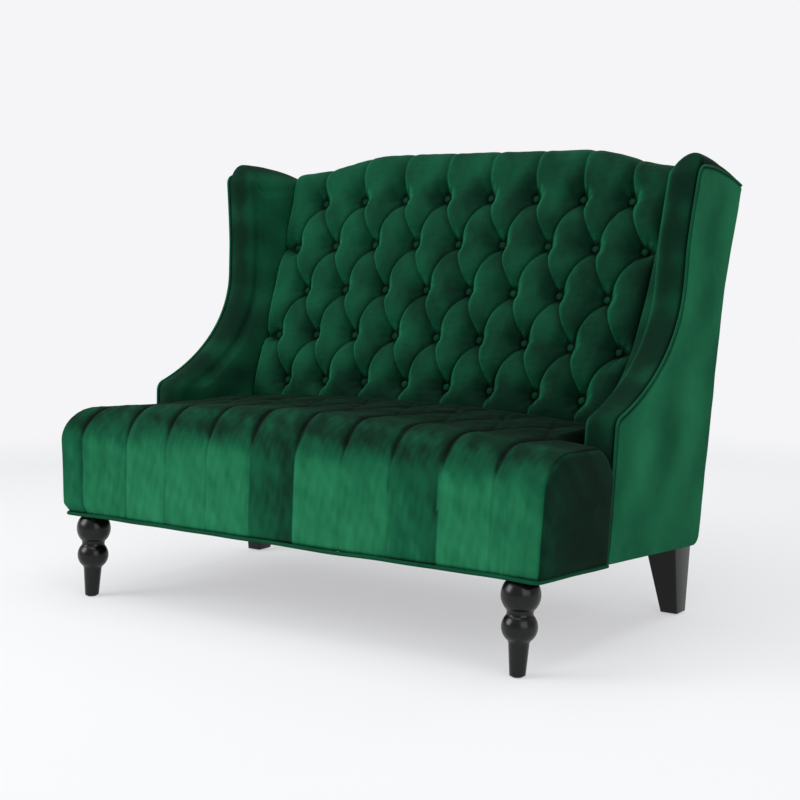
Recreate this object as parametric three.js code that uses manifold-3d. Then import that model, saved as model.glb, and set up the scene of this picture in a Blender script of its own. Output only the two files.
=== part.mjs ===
import * as THREE from "three";
import { mergeVertices } from "three/addons/utils/BufferGeometryUtils.js";
import Module from "manifold-3d";

const wasm = await Module();
wasm.setup();

// A tufted wing-back loveseat. Sizes are in millimetres, +X runs to its right-hand side as one
// looks at it from the front, +Y to its back and +Z up. Everything above the legs is drawn square
// to the underside of its base, in a body that is then pitched back a little on its legs.

// Stance
const baseHalfWidth = 616;
const frontUnderside = 191;
const bodyPitchDegrees = 3.9;
const sideFlareDegrees = 1.9;
const clearance = 0.3;
const cutOverrun = 40;
const capNudge = 0.01;

// Edge of the arm and wing, seen from the side
const armFront = 282;
const armTipHeight = 290;
const armTipRun = 17;
const armRiseDegrees = 22;
const armPull = 150;
const sweepPull = 120;
const wingFront = 543;
const wingHeight = 244;
const wingLean = 3;
const wingTopHeight = 819;
const wingCornerDrop = 27;
const wingCornerRun = 28;
const wingTopArch = 10;

// Rear of the body, seen from the side
const backBuild = 182.6;
const rearLeanDegrees = 3.1;
const rearBendHeight = 555;
const rearBendRun = 60;
const rearTopDrop = 23;
const rearTiltDegrees = 12.5;
const rearFootSlack = 1;

// Padding of the arm and wing
const armThickness = 78;
const bandBulge = 9;
const bandBulgeFade = 30;
const wingTopBulge = 28;
const wingRearBulge = 16;
const bandOuterDrop = 3;
const bandInnerDrop = 12;
const wingInnerDrop = 30;
const bandDepth = 14;
const bandOverlap = 0.4;
const bandRoundShare = 0.5;
const bandEarGap = 1.5;
const innerBowShare = 2 / 3;
const bandSteps = 6;
const sweepSteps = 9;
const cornerSteps = 4;
const padInset = 14;
const padClearance = 0.9;
const wingJointSetback = 16;
const seatJointRise = 56;

// Covers and piping
const outsideCoverThickness = 4;
const backCoverThickness = 5;
const armWeltRadius = 3;
const baseWeltRadius = 4;
const baseWeltProud = 1;
const baseWeltCornerRadius = 12;
const weltSides = 8;
const coverSeam = 3.8;
const dustCoverFoot = 1;
const dustCoverThickness = 2;
const dustCoverInset = 14;
const dustCoverRearGap = 4;

// Seat pad
const apronThickness = 14;
const apronMidShare = 0.5;
const seatRollStart = 165;
const seatRollDepth = 88;
const seatEdgeHeight = 224;
const seatCrown = 36;
const seatPuff = 13;
const seatRearGap = 5.7;
const seatRearLean = 34;
const seatTuckRun = 49;
const seatTuckFade = 60;
const seatTuckShare = 0.5;
const seatRollShares = [0.25, 0.5, 0.75];
const seatCornerRadius = 9;
const seatCornerReach = 130;
const seatCornerForward = 19;
const seatCornerOutward = 15;
const seatSwellFootShare = 0.8;
const seatCornerShares = [0, 1 / 3, 2 / 3, 1];
const seatDrawIn = 3;
const channelSeams = 10;
const channelSideMargin = 22.5;
const channelShift = -26;
const channelFloorShare = 0.35;
const channelFadeLength = 70;
const firstTuftLine = 185;
const seatTuftStep = 135;
const seatTuftSteps = 2;
const earRollStart = 185;
const earRollDrop = 62;
const earFade = 30;

// Tufted back pad
const backTiltDegrees = 19.4;
const topRowDrop = 59;
const footRowRise = 91.2;
const footRowDepth = 528.4;
const buttonRows = 5;
const backEndTop = 110.6;
const backEndFoot = 121.6;
const buttonsAcross = 9;
const backPuff = 44;
const backEdgeMarginShare = 0.3;
const pleatShare = 0.5;
const domeShare = 0.42;
const backPadThickness = 12;
const backFootGap = 8;
const backFootDrawShare = 0.5;
const backHemShare = 0.9;
const backEdgeShare = 0.45;
const crestRowShares = [0.45, 1];
const crestScallopShare = 0.08;
const crestRollStart = 78;
const crestTop = 127;
const crestTopSetback = 22;
const crestSeat = 96;
const crestSeatFallShare = 0.8;
const crestFall = 46;
const crestShoulderStart = 275;
const crestShoulderEnd = 540;
const rowDroop = 12;
const rowBow = 7;
const bowReach = 500;
const buttonRadius = 9;
const buttonTopRadius = 6;
const buttonHeight = 9;
const buttonSides = 5;

// Wooden frame
const boardThickness = 18;
const railThickness = 22;
const frontRailThickness = 28;
const railTop = 112;
const rearRailFoot = 30;
const springRailThickness = 44;
const springRailFoot = 52;
const cornerBlockLeg = 84;
const cornerBlockFoot = 34;
const cornerBlockHeight = 60;
const postTopDrop = 62;
const postThickness = 22;
const postDepth = 62;
const topRailThickness = 22;
const topRailDrop = 50;
const slatWidth = 62;
const slatSpread = 190;
const webbingThickness = 2;
const webbingTop = 20;

// Spring deck
const springCount = 6;
const springEdgeMargin = 40;
const springWireRadius = 1.9;
const springHalfWidth = 27;
const springBars = 13;
const springStepsPerBar = 5;
const springSides = 5;
const springArch = 7;
const springEndShare = 0.2;
const clipWall = 1.2;
const clipDepth = 14;
const clipHeadroom = 1.4;
const clipInset = 4;
const clipEndGap = 11;
const deckThickness = 3;
const deckSideGap = 5.8;
const deckFront = 20;

// Turned front legs, from the underside of the base down
const frontLegInset = 48.4;
const frontLegProud = 9.8;
const upperBallRadius = 38.5;
const ballTopRadius = 17.9;
const neckRadius = 25.5;
const lowerBallRadius = 35;
const lowerBallDrop = 94.5;
const pegTopRadius = 20.2;
const pegTopDrop = 127;
const pegFootRadius = 15;
const pegFootDrop = 190;
const ballSteps = 5;
const turnedSides = 24;

// Square rear legs
const rearLegTopWidth = 72;
const rearLegFootWidth = 39;
const rearLegTopDepth = 78;
const rearLegFootDepth = 43;
const rearLegSetback = 30;
const rearLegRake = 24;
const rearLegRun = 148;
const rearLegChamfer = 2.5;

// Leg hardware
const boltRadius = 4;
const boltInLeg = 30;
const boltInRail = 46;
const insertRadius = 6.5;
const insertLength = 16;
const glideRadius = 11;
const glideThickness = 3;
const glideEdge = 1;
const roundSides = 12;

const pitch = THREE.MathUtils.degToRad(bodyPitchDegrees);
const flare = Math.tan(THREE.MathUtils.degToRad(sideFlareDegrees));
const backTilt = THREE.MathUtils.degToRad(backTiltDegrees);
const rearTilt = THREE.MathUtils.degToRad(rearTiltDegrees);
const rearLean = THREE.MathUtils.degToRad(rearLeanDegrees);
const armRise = THREE.MathUtils.degToRad(armRiseDegrees);
const quarterTurn = Math.PI / 2;

// Heights and depths that hang from the wing's top, the seat and the bottom row
const sweepTop = wingTopHeight - wingHeight;
const rearTopHeight = wingTopHeight - rearTopDrop;
const postTop = wingTopHeight - postTopDrop;
const topRowHeight = wingTopHeight - topRowDrop;
const footRowHeight = seatEdgeHeight + footRowRise;
const seatJointHeight = seatEdgeHeight + seatJointRise;
const backFootMargin = (footRowRise - seatCrown - backFootGap) / Math.cos(backTilt);
const topRowDepth = footRowDepth + (topRowHeight - footRowHeight) * Math.tan(backTilt);

const rearDepth = footRowDepth + backBuild;
const rearFootRadius = railThickness + backCoverThickness - rearFootSlack;

// The tufts fill the room between the two arms and between the top and the bottom row
const edgeColumn = (buttonsAcross - 1) / 2;
const halfColumns = edgeColumn + backEdgeMarginShare;
const buttonRowStep = (topRowHeight - footRowHeight) / Math.cos(backTilt) / (buttonRows - 1);
const topButtonPitch = (sideAt(topRowHeight) - backEndTop) / halfColumns;
const footButtonPitch = (sideAt(footRowHeight) - backEndFoot) / halfColumns;
const channelPitch = 2 * (baseHalfWidth - channelSideMargin) / channelSeams;

// Heights and faces that several pieces share
const legTop = dustCoverFoot - clearance;
const frontLegSetback = upperBallRadius - frontLegProud;
const upperBallDrop = Math.sqrt(upperBallRadius ** 2 - ballTopRadius ** 2) - legTop;
const railFoot = dustCoverFoot + dustCoverThickness + clearance;
const apronFoot = railFoot;
const baseWeltHeight = apronFoot - clearance - baseWeltRadius;
const earRear = armFront - armWeltRadius - clearance;
const boardOuterFace = outsideCoverThickness + clearance;
const boardInnerFace = boardOuterFace + boardThickness;
const railOuterFace = boardInnerFace + clearance;
const railInnerFace = railOuterFace + railThickness;
const rearLegTopFront = rearDepth - rearLegSetback - rearLegTopDepth;
const rearLegFootFront = rearLegTopFront + rearLegRake;
const sideRailOuter = baseHalfWidth - railOuterFace + clearance;
const frontRailFront = apronThickness + clearance;
const frontRailRear = frontRailFront + frontRailThickness;
const rearRailRear = rearDepth - backCoverThickness - clearance;
const rearRailFront = rearRailRear - railThickness;
const padFoot = railTop + clearance;
const wireHeight = padFoot + clipWall + clipHeadroom / 2 + springWireRadius;
const clipTop = wireHeight + springWireRadius + clipHeadroom / 2 + clipWall;
const deckFoot = wireHeight + springWireRadius + springArch + clearance;
const seatFloor = deckFoot + deckThickness + clearance;
const backPadRear = backPadThickness;
const webbingFront = backPadRear + clearance;
const backBoardFront = webbingFront + webbingThickness + clearance;
const backBoardRear = backBoardFront + topRailThickness;
const wingPadSetback = (backBoardFront - clearance) / Math.cos(backTilt) - clearance;
const wingRearGap = (backCoverThickness + 3 * clearance) / Math.cos(rearTilt);
const seatRearFoot = buttonPlaneAt(seatFloor) + webbingFront / Math.cos(backTilt) - seatRearGap;
const seatRearTop = seatRearFoot + seatRearLean;
const seatTuckLine = seatRearTop - seatTuckRun;
const springRailFront = seatRearFoot - clipInset - clipDepth;
const deckHalfWidth = backHalfWidthAt(seatJointHeight) - deckSideGap;
const clipHalfLength = deckHalfWidth - clipEndGap;
const outerSpringPlace = deckHalfWidth - springEdgeMargin - springHalfWidth;
const springSpacing = 2 * outerSpringPlace / (springCount - 1);

// Finishes
function finish(color, roughness, metalness = 0) {
  return new THREE.MeshStandardMaterial({ color, roughness, metalness });
}

const velvet = finish("#1e6543", 0.85);
const blackWood = finish("#171b1a", 0.35);
const frameWood = finish("#c9a877", 0.75);
const plywood = finish("#b8925f", 0.8);
const springSteel = finish("#7c8084", 0.4, 1);
const zincSteel = finish("#b4b7ba", 0.35, 1);
const brass = finish("#b08d4a", 0.4, 1);
const jute = finish("#a58a5e", 0.95);
const dustCloth = finish("#1b1c1e", 0.95);
const glidePlastic = finish("#2c2c2c", 0.55);

// Solids and meshes
function solidFrom(geometry) {
  const plain = geometry.index ? geometry.toNonIndexed() : geometry.clone();
  plain.deleteAttribute("normal");
  plain.deleteAttribute("uv");
  const merged = mergeVertices(plain);
  return new wasm.Manifold(
    new wasm.Mesh({
      numProp: 3,
      vertProperties: merged.attributes.position.array,
      triVerts: new Uint32Array(merged.index.array),
    }),
  );
}

function geometryFrom(solid) {
  const mesh = solid.getMesh();
  const geometry = new THREE.BufferGeometry();
  geometry.setAttribute("position", new THREE.BufferAttribute(mesh.vertProperties, 3));
  geometry.setIndex(new THREE.BufferAttribute(mesh.triVerts, 1));
  const flat = geometry.toNonIndexed();
  flat.computeVertexNormals();
  return flat;
}

function cut(geometry, ...cutters) {
  let solid = solidFrom(geometry);
  for (const cutter of cutters) solid = solid.subtract(solidFrom(cutter));
  return geometryFrom(solid);
}

function fuse(geometry, ...others) {
  let solid = solidFrom(geometry);
  for (const other of others) solid = solid.add(solidFrom(other));
  return geometryFrom(solid);
}

function keep(geometry, region) {
  return geometryFrom(solidFrom(geometry).intersect(solidFrom(region)));
}

function part(name, geometry, material) {
  const mesh = new THREE.Mesh(geometry, material);
  mesh.name = name;
  return mesh;
}

// The flat plane that a ring of points lies in, as the two axes left when its normal is dropped
function flattened(ring) {
  const normal = new THREE.Vector3();
  ring.forEach((point, i) => {
    normal.add(new THREE.Vector3().crossVectors(point, ring[(i + 1) % ring.length]));
  });
  const size = [Math.abs(normal.x), Math.abs(normal.y), Math.abs(normal.z)];
  const drop = size.indexOf(Math.max(...size));
  const axes = ["x", "y", "z"].filter((_, i) => i !== drop);
  return ring.map((point) => new THREE.Vector2(point[axes[0]], point[axes[1]]));
}

// Points that lie in one line are nudged apart for this, so that none of them is left out
function capTriangles(ring) {
  const flat = flattened(ring);
  const outline = flat.map((point, i) => {
    const after = flat[(i + 1) % flat.length];
    const along = after.clone().sub(flat[(i + flat.length - 1) % flat.length]).normalize();
    const nudge = ((i % 3) + 1) * capNudge;
    return new THREE.Vector2(point.x + along.y * nudge, point.y - along.x * nudge);
  });
  const turn = Math.sign(THREE.ShapeUtils.area(outline));
  return THREE.ShapeUtils.triangulateShape(outline, []).map(([a, b, c]) => {
    const corner = [outline[a], outline[b], outline[c]];
    return Math.sign(THREE.ShapeUtils.area(corner)) === turn ? [a, b, c] : [a, c, b];
  });
}

// A closed body through rings of equally many points, with a flat cap on each end
function loft(rings) {
  const count = rings[0].length;
  const last = (rings.length - 1) * count;
  const corners = [];
  for (let i = 0; i < rings.length - 1; i++) {
    for (let j = 0; j < count; j++) {
      const a = i * count + j;
      const b = i * count + ((j + 1) % count);
      corners.push(a, b, b + count, a, b + count, a + count);
    }
  }
  for (const [a, b, c] of capTriangles(rings[0])) corners.push(a, c, b);
  for (const [a, b, c] of capTriangles(rings[rings.length - 1])) {
    corners.push(last + a, last + b, last + c);
  }
  const points = rings.flat();
  let volume = 0;
  for (let i = 0; i < corners.length; i += 3) {
    const [a, b, c] = [points[corners[i]], points[corners[i + 1]], points[corners[i + 2]]];
    volume += a.dot(new THREE.Vector3().crossVectors(b, c));
  }
  if (volume < 0) corners.reverse();
  const geometry = new THREE.BufferGeometry().setFromPoints(points);
  geometry.setIndex(corners);
  const flat = geometry.toNonIndexed();
  flat.computeVertexNormals();
  return flat;
}

// A plate drawn in the side view, with its flat faces at two places across the loveseat
function sidePlate(outline, innerFace, outerFace) {
  const geometry = new THREE.ExtrudeGeometry(new THREE.Shape(outline), {
    depth: outerFace - innerFace,
    bevelEnabled: false,
  });
  geometry.translate(0, 0, innerFace);
  const toSide = new THREE.Matrix4().makeBasis(
    new THREE.Vector3(0, 1, 0),
    new THREE.Vector3(0, 0, 1),
    new THREE.Vector3(1, 0, 0),
  );
  return geometry.applyMatrix4(toSide);
}

// A plate drawn in the front view, with its flat faces at two depths
function frontPlate(outline, frontFace, rearFace) {
  const geometry = new THREE.ExtrudeGeometry(new THREE.Shape(outline), {
    depth: rearFace - frontFace,
    bevelEnabled: false,
  });
  return geometry.rotateX(quarterTurn).translate(0, rearFace, 0);
}

function block(lowX, highX, lowY, highY, lowZ, highZ) {
  const geometry = new THREE.BoxGeometry(highX - lowX, highY - lowY, highZ - lowZ);
  return geometry.translate((lowX + highX) / 2, (lowY + highY) / 2, (lowZ + highZ) / 2);
}

function circle(radius, sides) {
  const shape = new THREE.Shape();
  for (let i = 0; i < sides; i++) {
    const angle = (2 * Math.PI * i) / sides;
    const point = [radius * Math.cos(angle), radius * Math.sin(angle)];
    if (i === 0) shape.moveTo(...point);
    else shape.lineTo(...point);
  }
  shape.closePath();
  return shape;
}

function tube(path, radius, sides, steps) {
  return new THREE.ExtrudeGeometry(circle(radius, sides), {
    extrudePath: path,
    steps,
    bevelEnabled: false,
  });
}

// A route that is stepped at its own points, so that its corners stay where they are drawn
class Seam extends THREE.Curve {
  constructor(points) {
    super();
    this.points = points;
  }

  getPoint(share) {
    const place = share * (this.points.length - 1);
    const index = Math.min(Math.floor(place + 1 / this.points.length ** 2), this.points.length - 2);
    return this.points[index].clone().lerp(this.points[index + 1], place - index);
  }

  getPointAt(share) {
    return this.getPoint(share);
  }

  getTangentAt(share) {
    const last = this.points.length - 1;
    const index = Math.round(share * last);
    const before = this.points[Math.max(index - 1, 0)];
    return this.points[Math.min(index + 1, last)].clone().sub(before).normalize();
  }
}

function piping(points, radius) {
  return tube(new Seam(points), radius, weltSides, points.length - 1);
}

function rod(radius, lowZ, highZ) {
  const geometry = new THREE.CylinderGeometry(radius, radius, highZ - lowZ, roundSides);
  return geometry.rotateX(quarterTurn).translate(0, 0, (lowZ + highZ) / 2);
}

// Side-view outlines as points whose x is the depth and y the height
function sharedSteps(curves) {
  return curves.flatMap(([curve, steps], i) => curve.getPoints(steps).slice(i ? 1 : 0));
}

function inset(points, distance) {
  return points.map((point, i) => {
    const before = points[Math.max(i - 1, 0)];
    const after = points[Math.min(i + 1, points.length - 1)];
    const along = after.clone().sub(before).normalize();
    return new THREE.Vector2(point.x + along.y * distance, point.y - along.x * distance);
  });
}

function rearAt(height) {
  const bent = Math.max(height - rearBendHeight, 0);
  return rearDepth + (height - bent) * Math.tan(rearLean) + bent * Math.tan(rearTilt);
}

const rearTop = new THREE.Vector2(rearAt(rearTopHeight), rearTopHeight);

// Up the front of the arm, along its sweep to the wing and back over the wing's top
function sideEdge() {
  const tipStart = new THREE.Vector2(armFront, armTipHeight - armTipRun);
  const tipEnd = new THREE.Vector2(
    armFront + armTipRun,
    armTipHeight + armTipRun * Math.tan(armRise),
  );
  const leave = new THREE.Vector2(Math.cos(armRise), Math.sin(armRise)).multiplyScalar(armPull);
  const sweepEnd = new THREE.Vector2(wingFront, sweepTop);
  const cornerStart = new THREE.Vector2(wingFront + wingLean, wingTopHeight - wingCornerDrop);
  const corner = new THREE.Vector2(wingFront + wingLean, wingTopHeight);
  const cornerEnd = new THREE.Vector2(corner.x + wingCornerRun, wingTopHeight);
  const arch = cornerEnd.clone().lerp(rearTop, 0.5).add(new THREE.Vector2(0, 2 * wingTopArch));
  return sharedSteps([
    [new THREE.LineCurve(new THREE.Vector2(armFront, 0), tipStart), 2],
    [new THREE.QuadraticBezierCurve(
      tipStart, new THREE.Vector2(armFront, armTipHeight), tipEnd), cornerSteps],
    [new THREE.CubicBezierCurve(
      tipEnd,
      tipEnd.clone().add(leave),
      new THREE.Vector2(wingFront, sweepTop - sweepPull),
      sweepEnd,
    ), sweepSteps],
    [new THREE.LineCurve(sweepEnd, cornerStart), 2],
    [new THREE.QuadraticBezierCurve(cornerStart, corner, cornerEnd), cornerSteps],
    [new THREE.QuadraticBezierCurve(cornerEnd, arch, rearTop), cornerSteps],
  ]);
}

// Down the rear of the body and round its lower corner
function rearEdge(topHeight) {
  const bend = new THREE.Vector2(rearAt(rearBendHeight), rearBendHeight);
  const bendStart = new THREE.Vector2(
    rearAt(rearBendHeight + rearBendRun), rearBendHeight + rearBendRun);
  const bendEnd = new THREE.Vector2(
    rearAt(rearBendHeight - rearBendRun), rearBendHeight - rearBendRun);
  const footStart = new THREE.Vector2(rearAt(rearFootRadius), rearFootRadius);
  const foot = new THREE.Vector2(rearDepth, 0);
  const footEnd = new THREE.Vector2(rearDepth - rearFootRadius, 0);
  return sharedSteps([
    [new THREE.LineCurve(new THREE.Vector2(rearAt(topHeight), topHeight), bendStart), 1],
    [new THREE.QuadraticBezierCurve(bendStart, bend, bendEnd), cornerSteps],
    [new THREE.LineCurve(bendEnd, footStart), 1],
    [new THREE.QuadraticBezierCurve(footStart, foot, footEnd), cornerSteps],
  ]);
}

const edge = sideEdge();
const bandStart = seatTopAt(baseHalfWidth - armThickness, earRear) + seatPuff + bandEarGap;
const flareShear = new THREE.Matrix4().set(
  1, 0, flare, baseHalfWidth,
  0, 1, 0, 0,
  0, 0, 1, 0,
  0, 0, 0, 1,
);

function sideAt(height) {
  return baseHalfWidth + height * flare;
}

// Layout of the diamond tufting on the back
function rowPitch(drop) {
  const fullDrop = (buttonRows - 1) * buttonRowStep;
  return THREE.MathUtils.lerp(topButtonPitch, footButtonPitch, drop / fullDrop);
}

function buttonPlaneAt(height) {
  return topRowDepth + (height - topRowHeight) * Math.tan(backTilt);
}

// From the tilted frame of the button plane to the body, as a side-view point
function onBack(depth, rise) {
  return new THREE.Vector2(
    topRowDepth + depth * Math.cos(backTilt) + rise * Math.sin(backTilt),
    topRowHeight - depth * Math.sin(backTilt) + rise * Math.cos(backTilt),
  );
}

function backHalfWidthAt(height) {
  const drop = (topRowHeight - height) / Math.cos(backTilt) - rowDroop;
  return halfColumns * rowPitch(drop);
}

// Height share of a tufted cover: 0 at a tuft, pleatShare midway along a pleat, 1 on a diamond
function tuftShare(column, row) {
  const rising = Math.abs(Math.sin(Math.PI * (column + row / 2)));
  const falling = Math.abs(Math.sin(Math.PI * (column - row / 2)));
  const dome = Math.pow(rising * falling, domeShare);
  const pleat = 1 - (1 - rising) * (1 - falling);
  return pleatShare * pleat + (1 - pleatShare) * dome;
}

// Beyond the outer tufts the pleats run straight on and grow shallower
function fadedTuft(share, beyond, fadeLength, floorShare) {
  const floor = floorShare * Math.sin(quarterTurn * Math.min(beyond / fadeLength, 1));
  return floor + (1 - floor) * share;
}

function backTuft(column, drop) {
  const insideColumn = THREE.MathUtils.clamp(column, -edgeColumn, edgeColumn);
  const insideDrop = THREE.MathUtils.clamp(drop, 0, (buttonRows - 1) * buttonRowStep);
  const share = tuftShare(insideColumn - 0.5, insideDrop / buttonRowStep);
  const beyond = Math.abs(drop - insideDrop) + Math.abs(column - insideColumn) * topButtonPitch;
  return fadedTuft(share, beyond, buttonRowStep / 2, pleatShare);
}

function crestDropAt(across) {
  const share = THREE.MathUtils.smoothstep(Math.abs(across), crestShoulderStart, crestShoulderEnd);
  return crestFall * share;
}

function bowAt(across) {
  return (across / bowReach) ** 2;
}

// The rear face of the body, seen from the tilted button plane
function crestRearAt(height) {
  const depth = rearAt(topRowHeight) - topRowDepth;
  const lean = Math.tan(rearTilt - backTilt);
  return depth * Math.cos(backTilt) + (height - depth * Math.sin(backTilt)) * lean;
}

function crestSeatAt(across) {
  return crestSeat - crestSeatFallShare * crestDropAt(across);
}

// One upright slice through the back pad, in the frame of the tilted button plane
function backSlice(column) {
  const sideShare = Math.abs(column) === halfColumns ? backEdgeShare : 1;
  const fullDrop = (buttonRows - 1) * buttonRowStep;
  const foot = fullDrop + backFootMargin;
  const onPlane = (drop, share) => {
    const across = column * rowPitch(drop);
    const proud = backPuff * backTuft(column, drop) * share * sideShare;
    const held = THREE.MathUtils.clamp(drop / buttonRowStep + 1, 0, 1);
    return new THREE.Vector3(
      across, rowBow * bowAt(across) - proud, -drop - rowDroop * bowAt(across) * held);
  };
  const ring = [
    onPlane(foot, backFootDrawShare),
    onPlane(fullDrop + backFootMargin / 2, backHemShare),
  ];
  for (let step = 2 * (buttonRows - 1); step >= 0; step--) {
    ring.push(onPlane((step * buttonRowStep) / 2, 1));
  }
  const across = column * rowPitch(crestFall - crestRollStart);
  const rollStart = crestRollStart - crestDropAt(across);
  for (const share of crestRowShares) ring.push(onPlane(-rollStart * share, 1));
  const front = ring[ring.length - 1].y;
  const notch = crestScallopShare * (1 - backTuft(column, -buttonRowStep / 2));
  const rise = (crestTop - crestRollStart) * (1 - notch);
  for (const angle of [Math.PI / 6, Math.PI / 3, quarterTurn]) {
    const depth = crestTopSetback + (front - crestTopSetback) * Math.cos(angle);
    ring.push(new THREE.Vector3(across, depth, rollStart + rise * Math.sin(angle)));
  }
  const seat = crestSeatAt(across);
  const rear = crestRearAt(seat);
  for (const angle of [Math.PI / 4, quarterTurn]) {
    const depth = crestTopSetback + (rear - crestTopSetback) * Math.sin(angle);
    ring.push(new THREE.Vector3(across, depth, seat + (rollStart + rise - seat) * Math.cos(angle)));
  }
  ring.push(new THREE.Vector3(across, backPadRear, seat));
  ring.push(new THREE.Vector3(column * rowPitch(foot), backPadRear, -foot));
  return ring;
}

function buttonBoss(column, row) {
  const drop = row * buttonRowStep;
  const across = column * rowPitch(drop);
  const root = backPadThickness / 4;
  const boss = new THREE.CylinderGeometry(
    buttonRadius, buttonTopRadius, buttonHeight + root, buttonSides);
  return boss.translate(
    across, (root - buttonHeight) / 2 + rowBow * bowAt(across), -drop - rowDroop * bowAt(across));
}

function buttonPlaces() {
  const places = [];
  for (let row = 0; row < buttonRows; row++) {
    const reach = row % 2 ? edgeColumn : edgeColumn - 0.5;
    for (let column = -reach; column <= reach; column++) places.push([column, row]);
  }
  return places;
}

function backColumns() {
  const columns = [-halfColumns];
  for (let quarter = -4 * edgeColumn; quarter <= 4 * edgeColumn; quarter++) {
    columns.push(quarter / 4);
  }
  columns.push(halfColumns);
  return columns;
}

function backPad() {
  const bosses = buttonPlaces().map(([column, row]) => buttonBoss(column, row));
  const pad = fuse(loft(backColumns().map(backSlice)), ...bosses);
  return part("back_pad", pad, velvet);
}

// Seat pad: channels up its front and over its edge, then diamonds towards the back
function seatTopAt(across, depth) {
  const crown = seatCrown * (1 - (across / baseHalfWidth) ** 2);
  const level = (depth - seatRollDepth) * Math.tan(pitch);
  const tuck = Math.max(depth - seatTuckLine, 0) * seatTuckShare;
  const ear = THREE.MathUtils.smoothstep(
    Math.abs(across), baseHalfWidth - armThickness - earFade, baseHalfWidth - armThickness);
  const roll = Math.max(depth - earRollStart, 0) / (earRear - earRollStart);
  return seatEdgeHeight + crown + level - tuck - ear * earRollDrop * Math.min(roll, 1) ** 2;
}

function seatPuffAt(across, depth) {
  const half = channelSeams / 2;
  const column = THREE.MathUtils.clamp((across - channelShift) / channelPitch, -half, half);
  const row = THREE.MathUtils.clamp((depth - firstTuftLine) / seatTuftStep, 0, seatTuftSteps);
  const beyond = Math.max(firstTuftLine - depth, 0);
  const share = fadedTuft(
    tuftShare(column - 0.5, row), beyond, channelFadeLength, channelFloorShare);
  const fade = 1 - THREE.MathUtils.smoothstep(depth, seatTuckLine - seatTuckFade, seatTuckLine);
  return seatPuff * share * fade;
}

// How far the seat's front corners are filled out, more with each bit of height
function seatSwellAt(across, height) {
  const share = THREE.MathUtils.smoothstep(
    Math.abs(across), baseHalfWidth - seatCornerReach, baseHalfWidth);
  const grown = THREE.MathUtils.clamp((height - apronFoot) / (seatRollStart - apronFoot), 0, 1);
  return share * THREE.MathUtils.lerp(seatSwellFootShare, 1, grown);
}

// One slice through the seat pad from front to back; the outer ones reach down past the rails
function seatSlice(across, cornerInset, outside) {
  const point = (depth, height) =>
    new THREE.Vector3(across * (1 + (height * flare) / baseHalfWidth), depth, height);
  const swollen = (depth, height) => {
    const swell = seatSwellAt(across, height);
    const place = point(depth, height);
    const forward = 1 - THREE.MathUtils.clamp(depth / seatRollDepth, 0, 1);
    const outward = 1 - THREE.MathUtils.clamp(depth / earRear, 0, 1);
    place.x += Math.sign(across) * seatCornerOutward * swell * outward;
    place.y -= seatCornerForward * swell * forward;
    return place;
  };
  const frontPuff = seatPuffAt(across, 0);
  const face = seatPuff - frontPuff + cornerInset;
  const ring = [
    point(outside ? 2 * apronThickness : apronThickness, apronFoot),
    swollen(face + seatDrawIn, apronFoot),
    swollen(face, seatRollStart * apronMidShare),
    swollen(face, seatRollStart),
  ];
  const rise = seatTopAt(across, seatRollDepth) - seatRollStart;
  const run = seatRollDepth - seatPuff;
  for (const share of seatRollShares) {
    const angle = quarterTurn * share;
    const proud = seatPuffAt(across, seatRollDepth * share) - cornerInset;
    ring.push(swollen(
      seatRollDepth - (run + proud) * Math.cos(angle),
      seatRollStart + (rise + proud) * Math.sin(angle),
    ));
  }
  const depths = [seatRollDepth, (seatRollDepth + firstTuftLine) / 2];
  for (let step = 0; step <= 2 * seatTuftSteps; step++) {
    depths.push(firstTuftLine + (step * seatTuftStep) / 2);
  }
  depths.push(seatRearTop);
  for (const depth of depths) {
    ring.push(swollen(depth, seatTopAt(across, depth) + seatPuffAt(across, depth) - cornerInset));
  }
  ring.push(point(seatRearFoot, outside ? apronFoot : seatFloor));
  ring.push(point(outside ? 3 * apronThickness : apronThickness, outside ? apronFoot : seatFloor));
  return ring;
}

// The room that an arm needs beside the seat pad, from the arm's front face to the rear
function armRoom() {
  const front = armFront + padInset;
  const joint = buttonPlaneAt(seatJointHeight) - wingJointSetback;
  const faceAt = (depth) => new THREE.Vector2(
    -innerFaceAt(front, depth, seatJointHeight) - padClearance, depth);
  const rear = faceAt(joint);
  const outline = new THREE.Shape([
    new THREE.Vector2(cutOverrun, earRear),
    new THREE.Vector2(faceAt(front).x, earRear),
    faceAt(front),
    faceAt((front + joint) / 2),
    rear,
    new THREE.Vector2(rear.x, rearDepth),
    new THREE.Vector2(cutOverrun, rearDepth),
  ]);
  const depth = wingTopHeight;
  const room = new THREE.ExtrudeGeometry(outline, { depth, bevelEnabled: false });
  return room.translate(0, 0, -cutOverrun).applyMatrix4(flareShear);
}

function mirrored(geometry) {
  const flipped = geometry.index ? geometry.toNonIndexed() : geometry.clone();
  flipped.scale(-1, 1, 1);
  const points = flipped.attributes.position;
  for (let i = 0; i < points.count; i += 3) {
    const second = new THREE.Vector3().fromBufferAttribute(points, i + 1);
    const third = new THREE.Vector3().fromBufferAttribute(points, i + 2);
    points.setXYZ(i + 1, third.x, third.y, third.z);
    points.setXYZ(i + 2, second.x, second.y, second.z);
  }
  return flipped;
}

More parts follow.
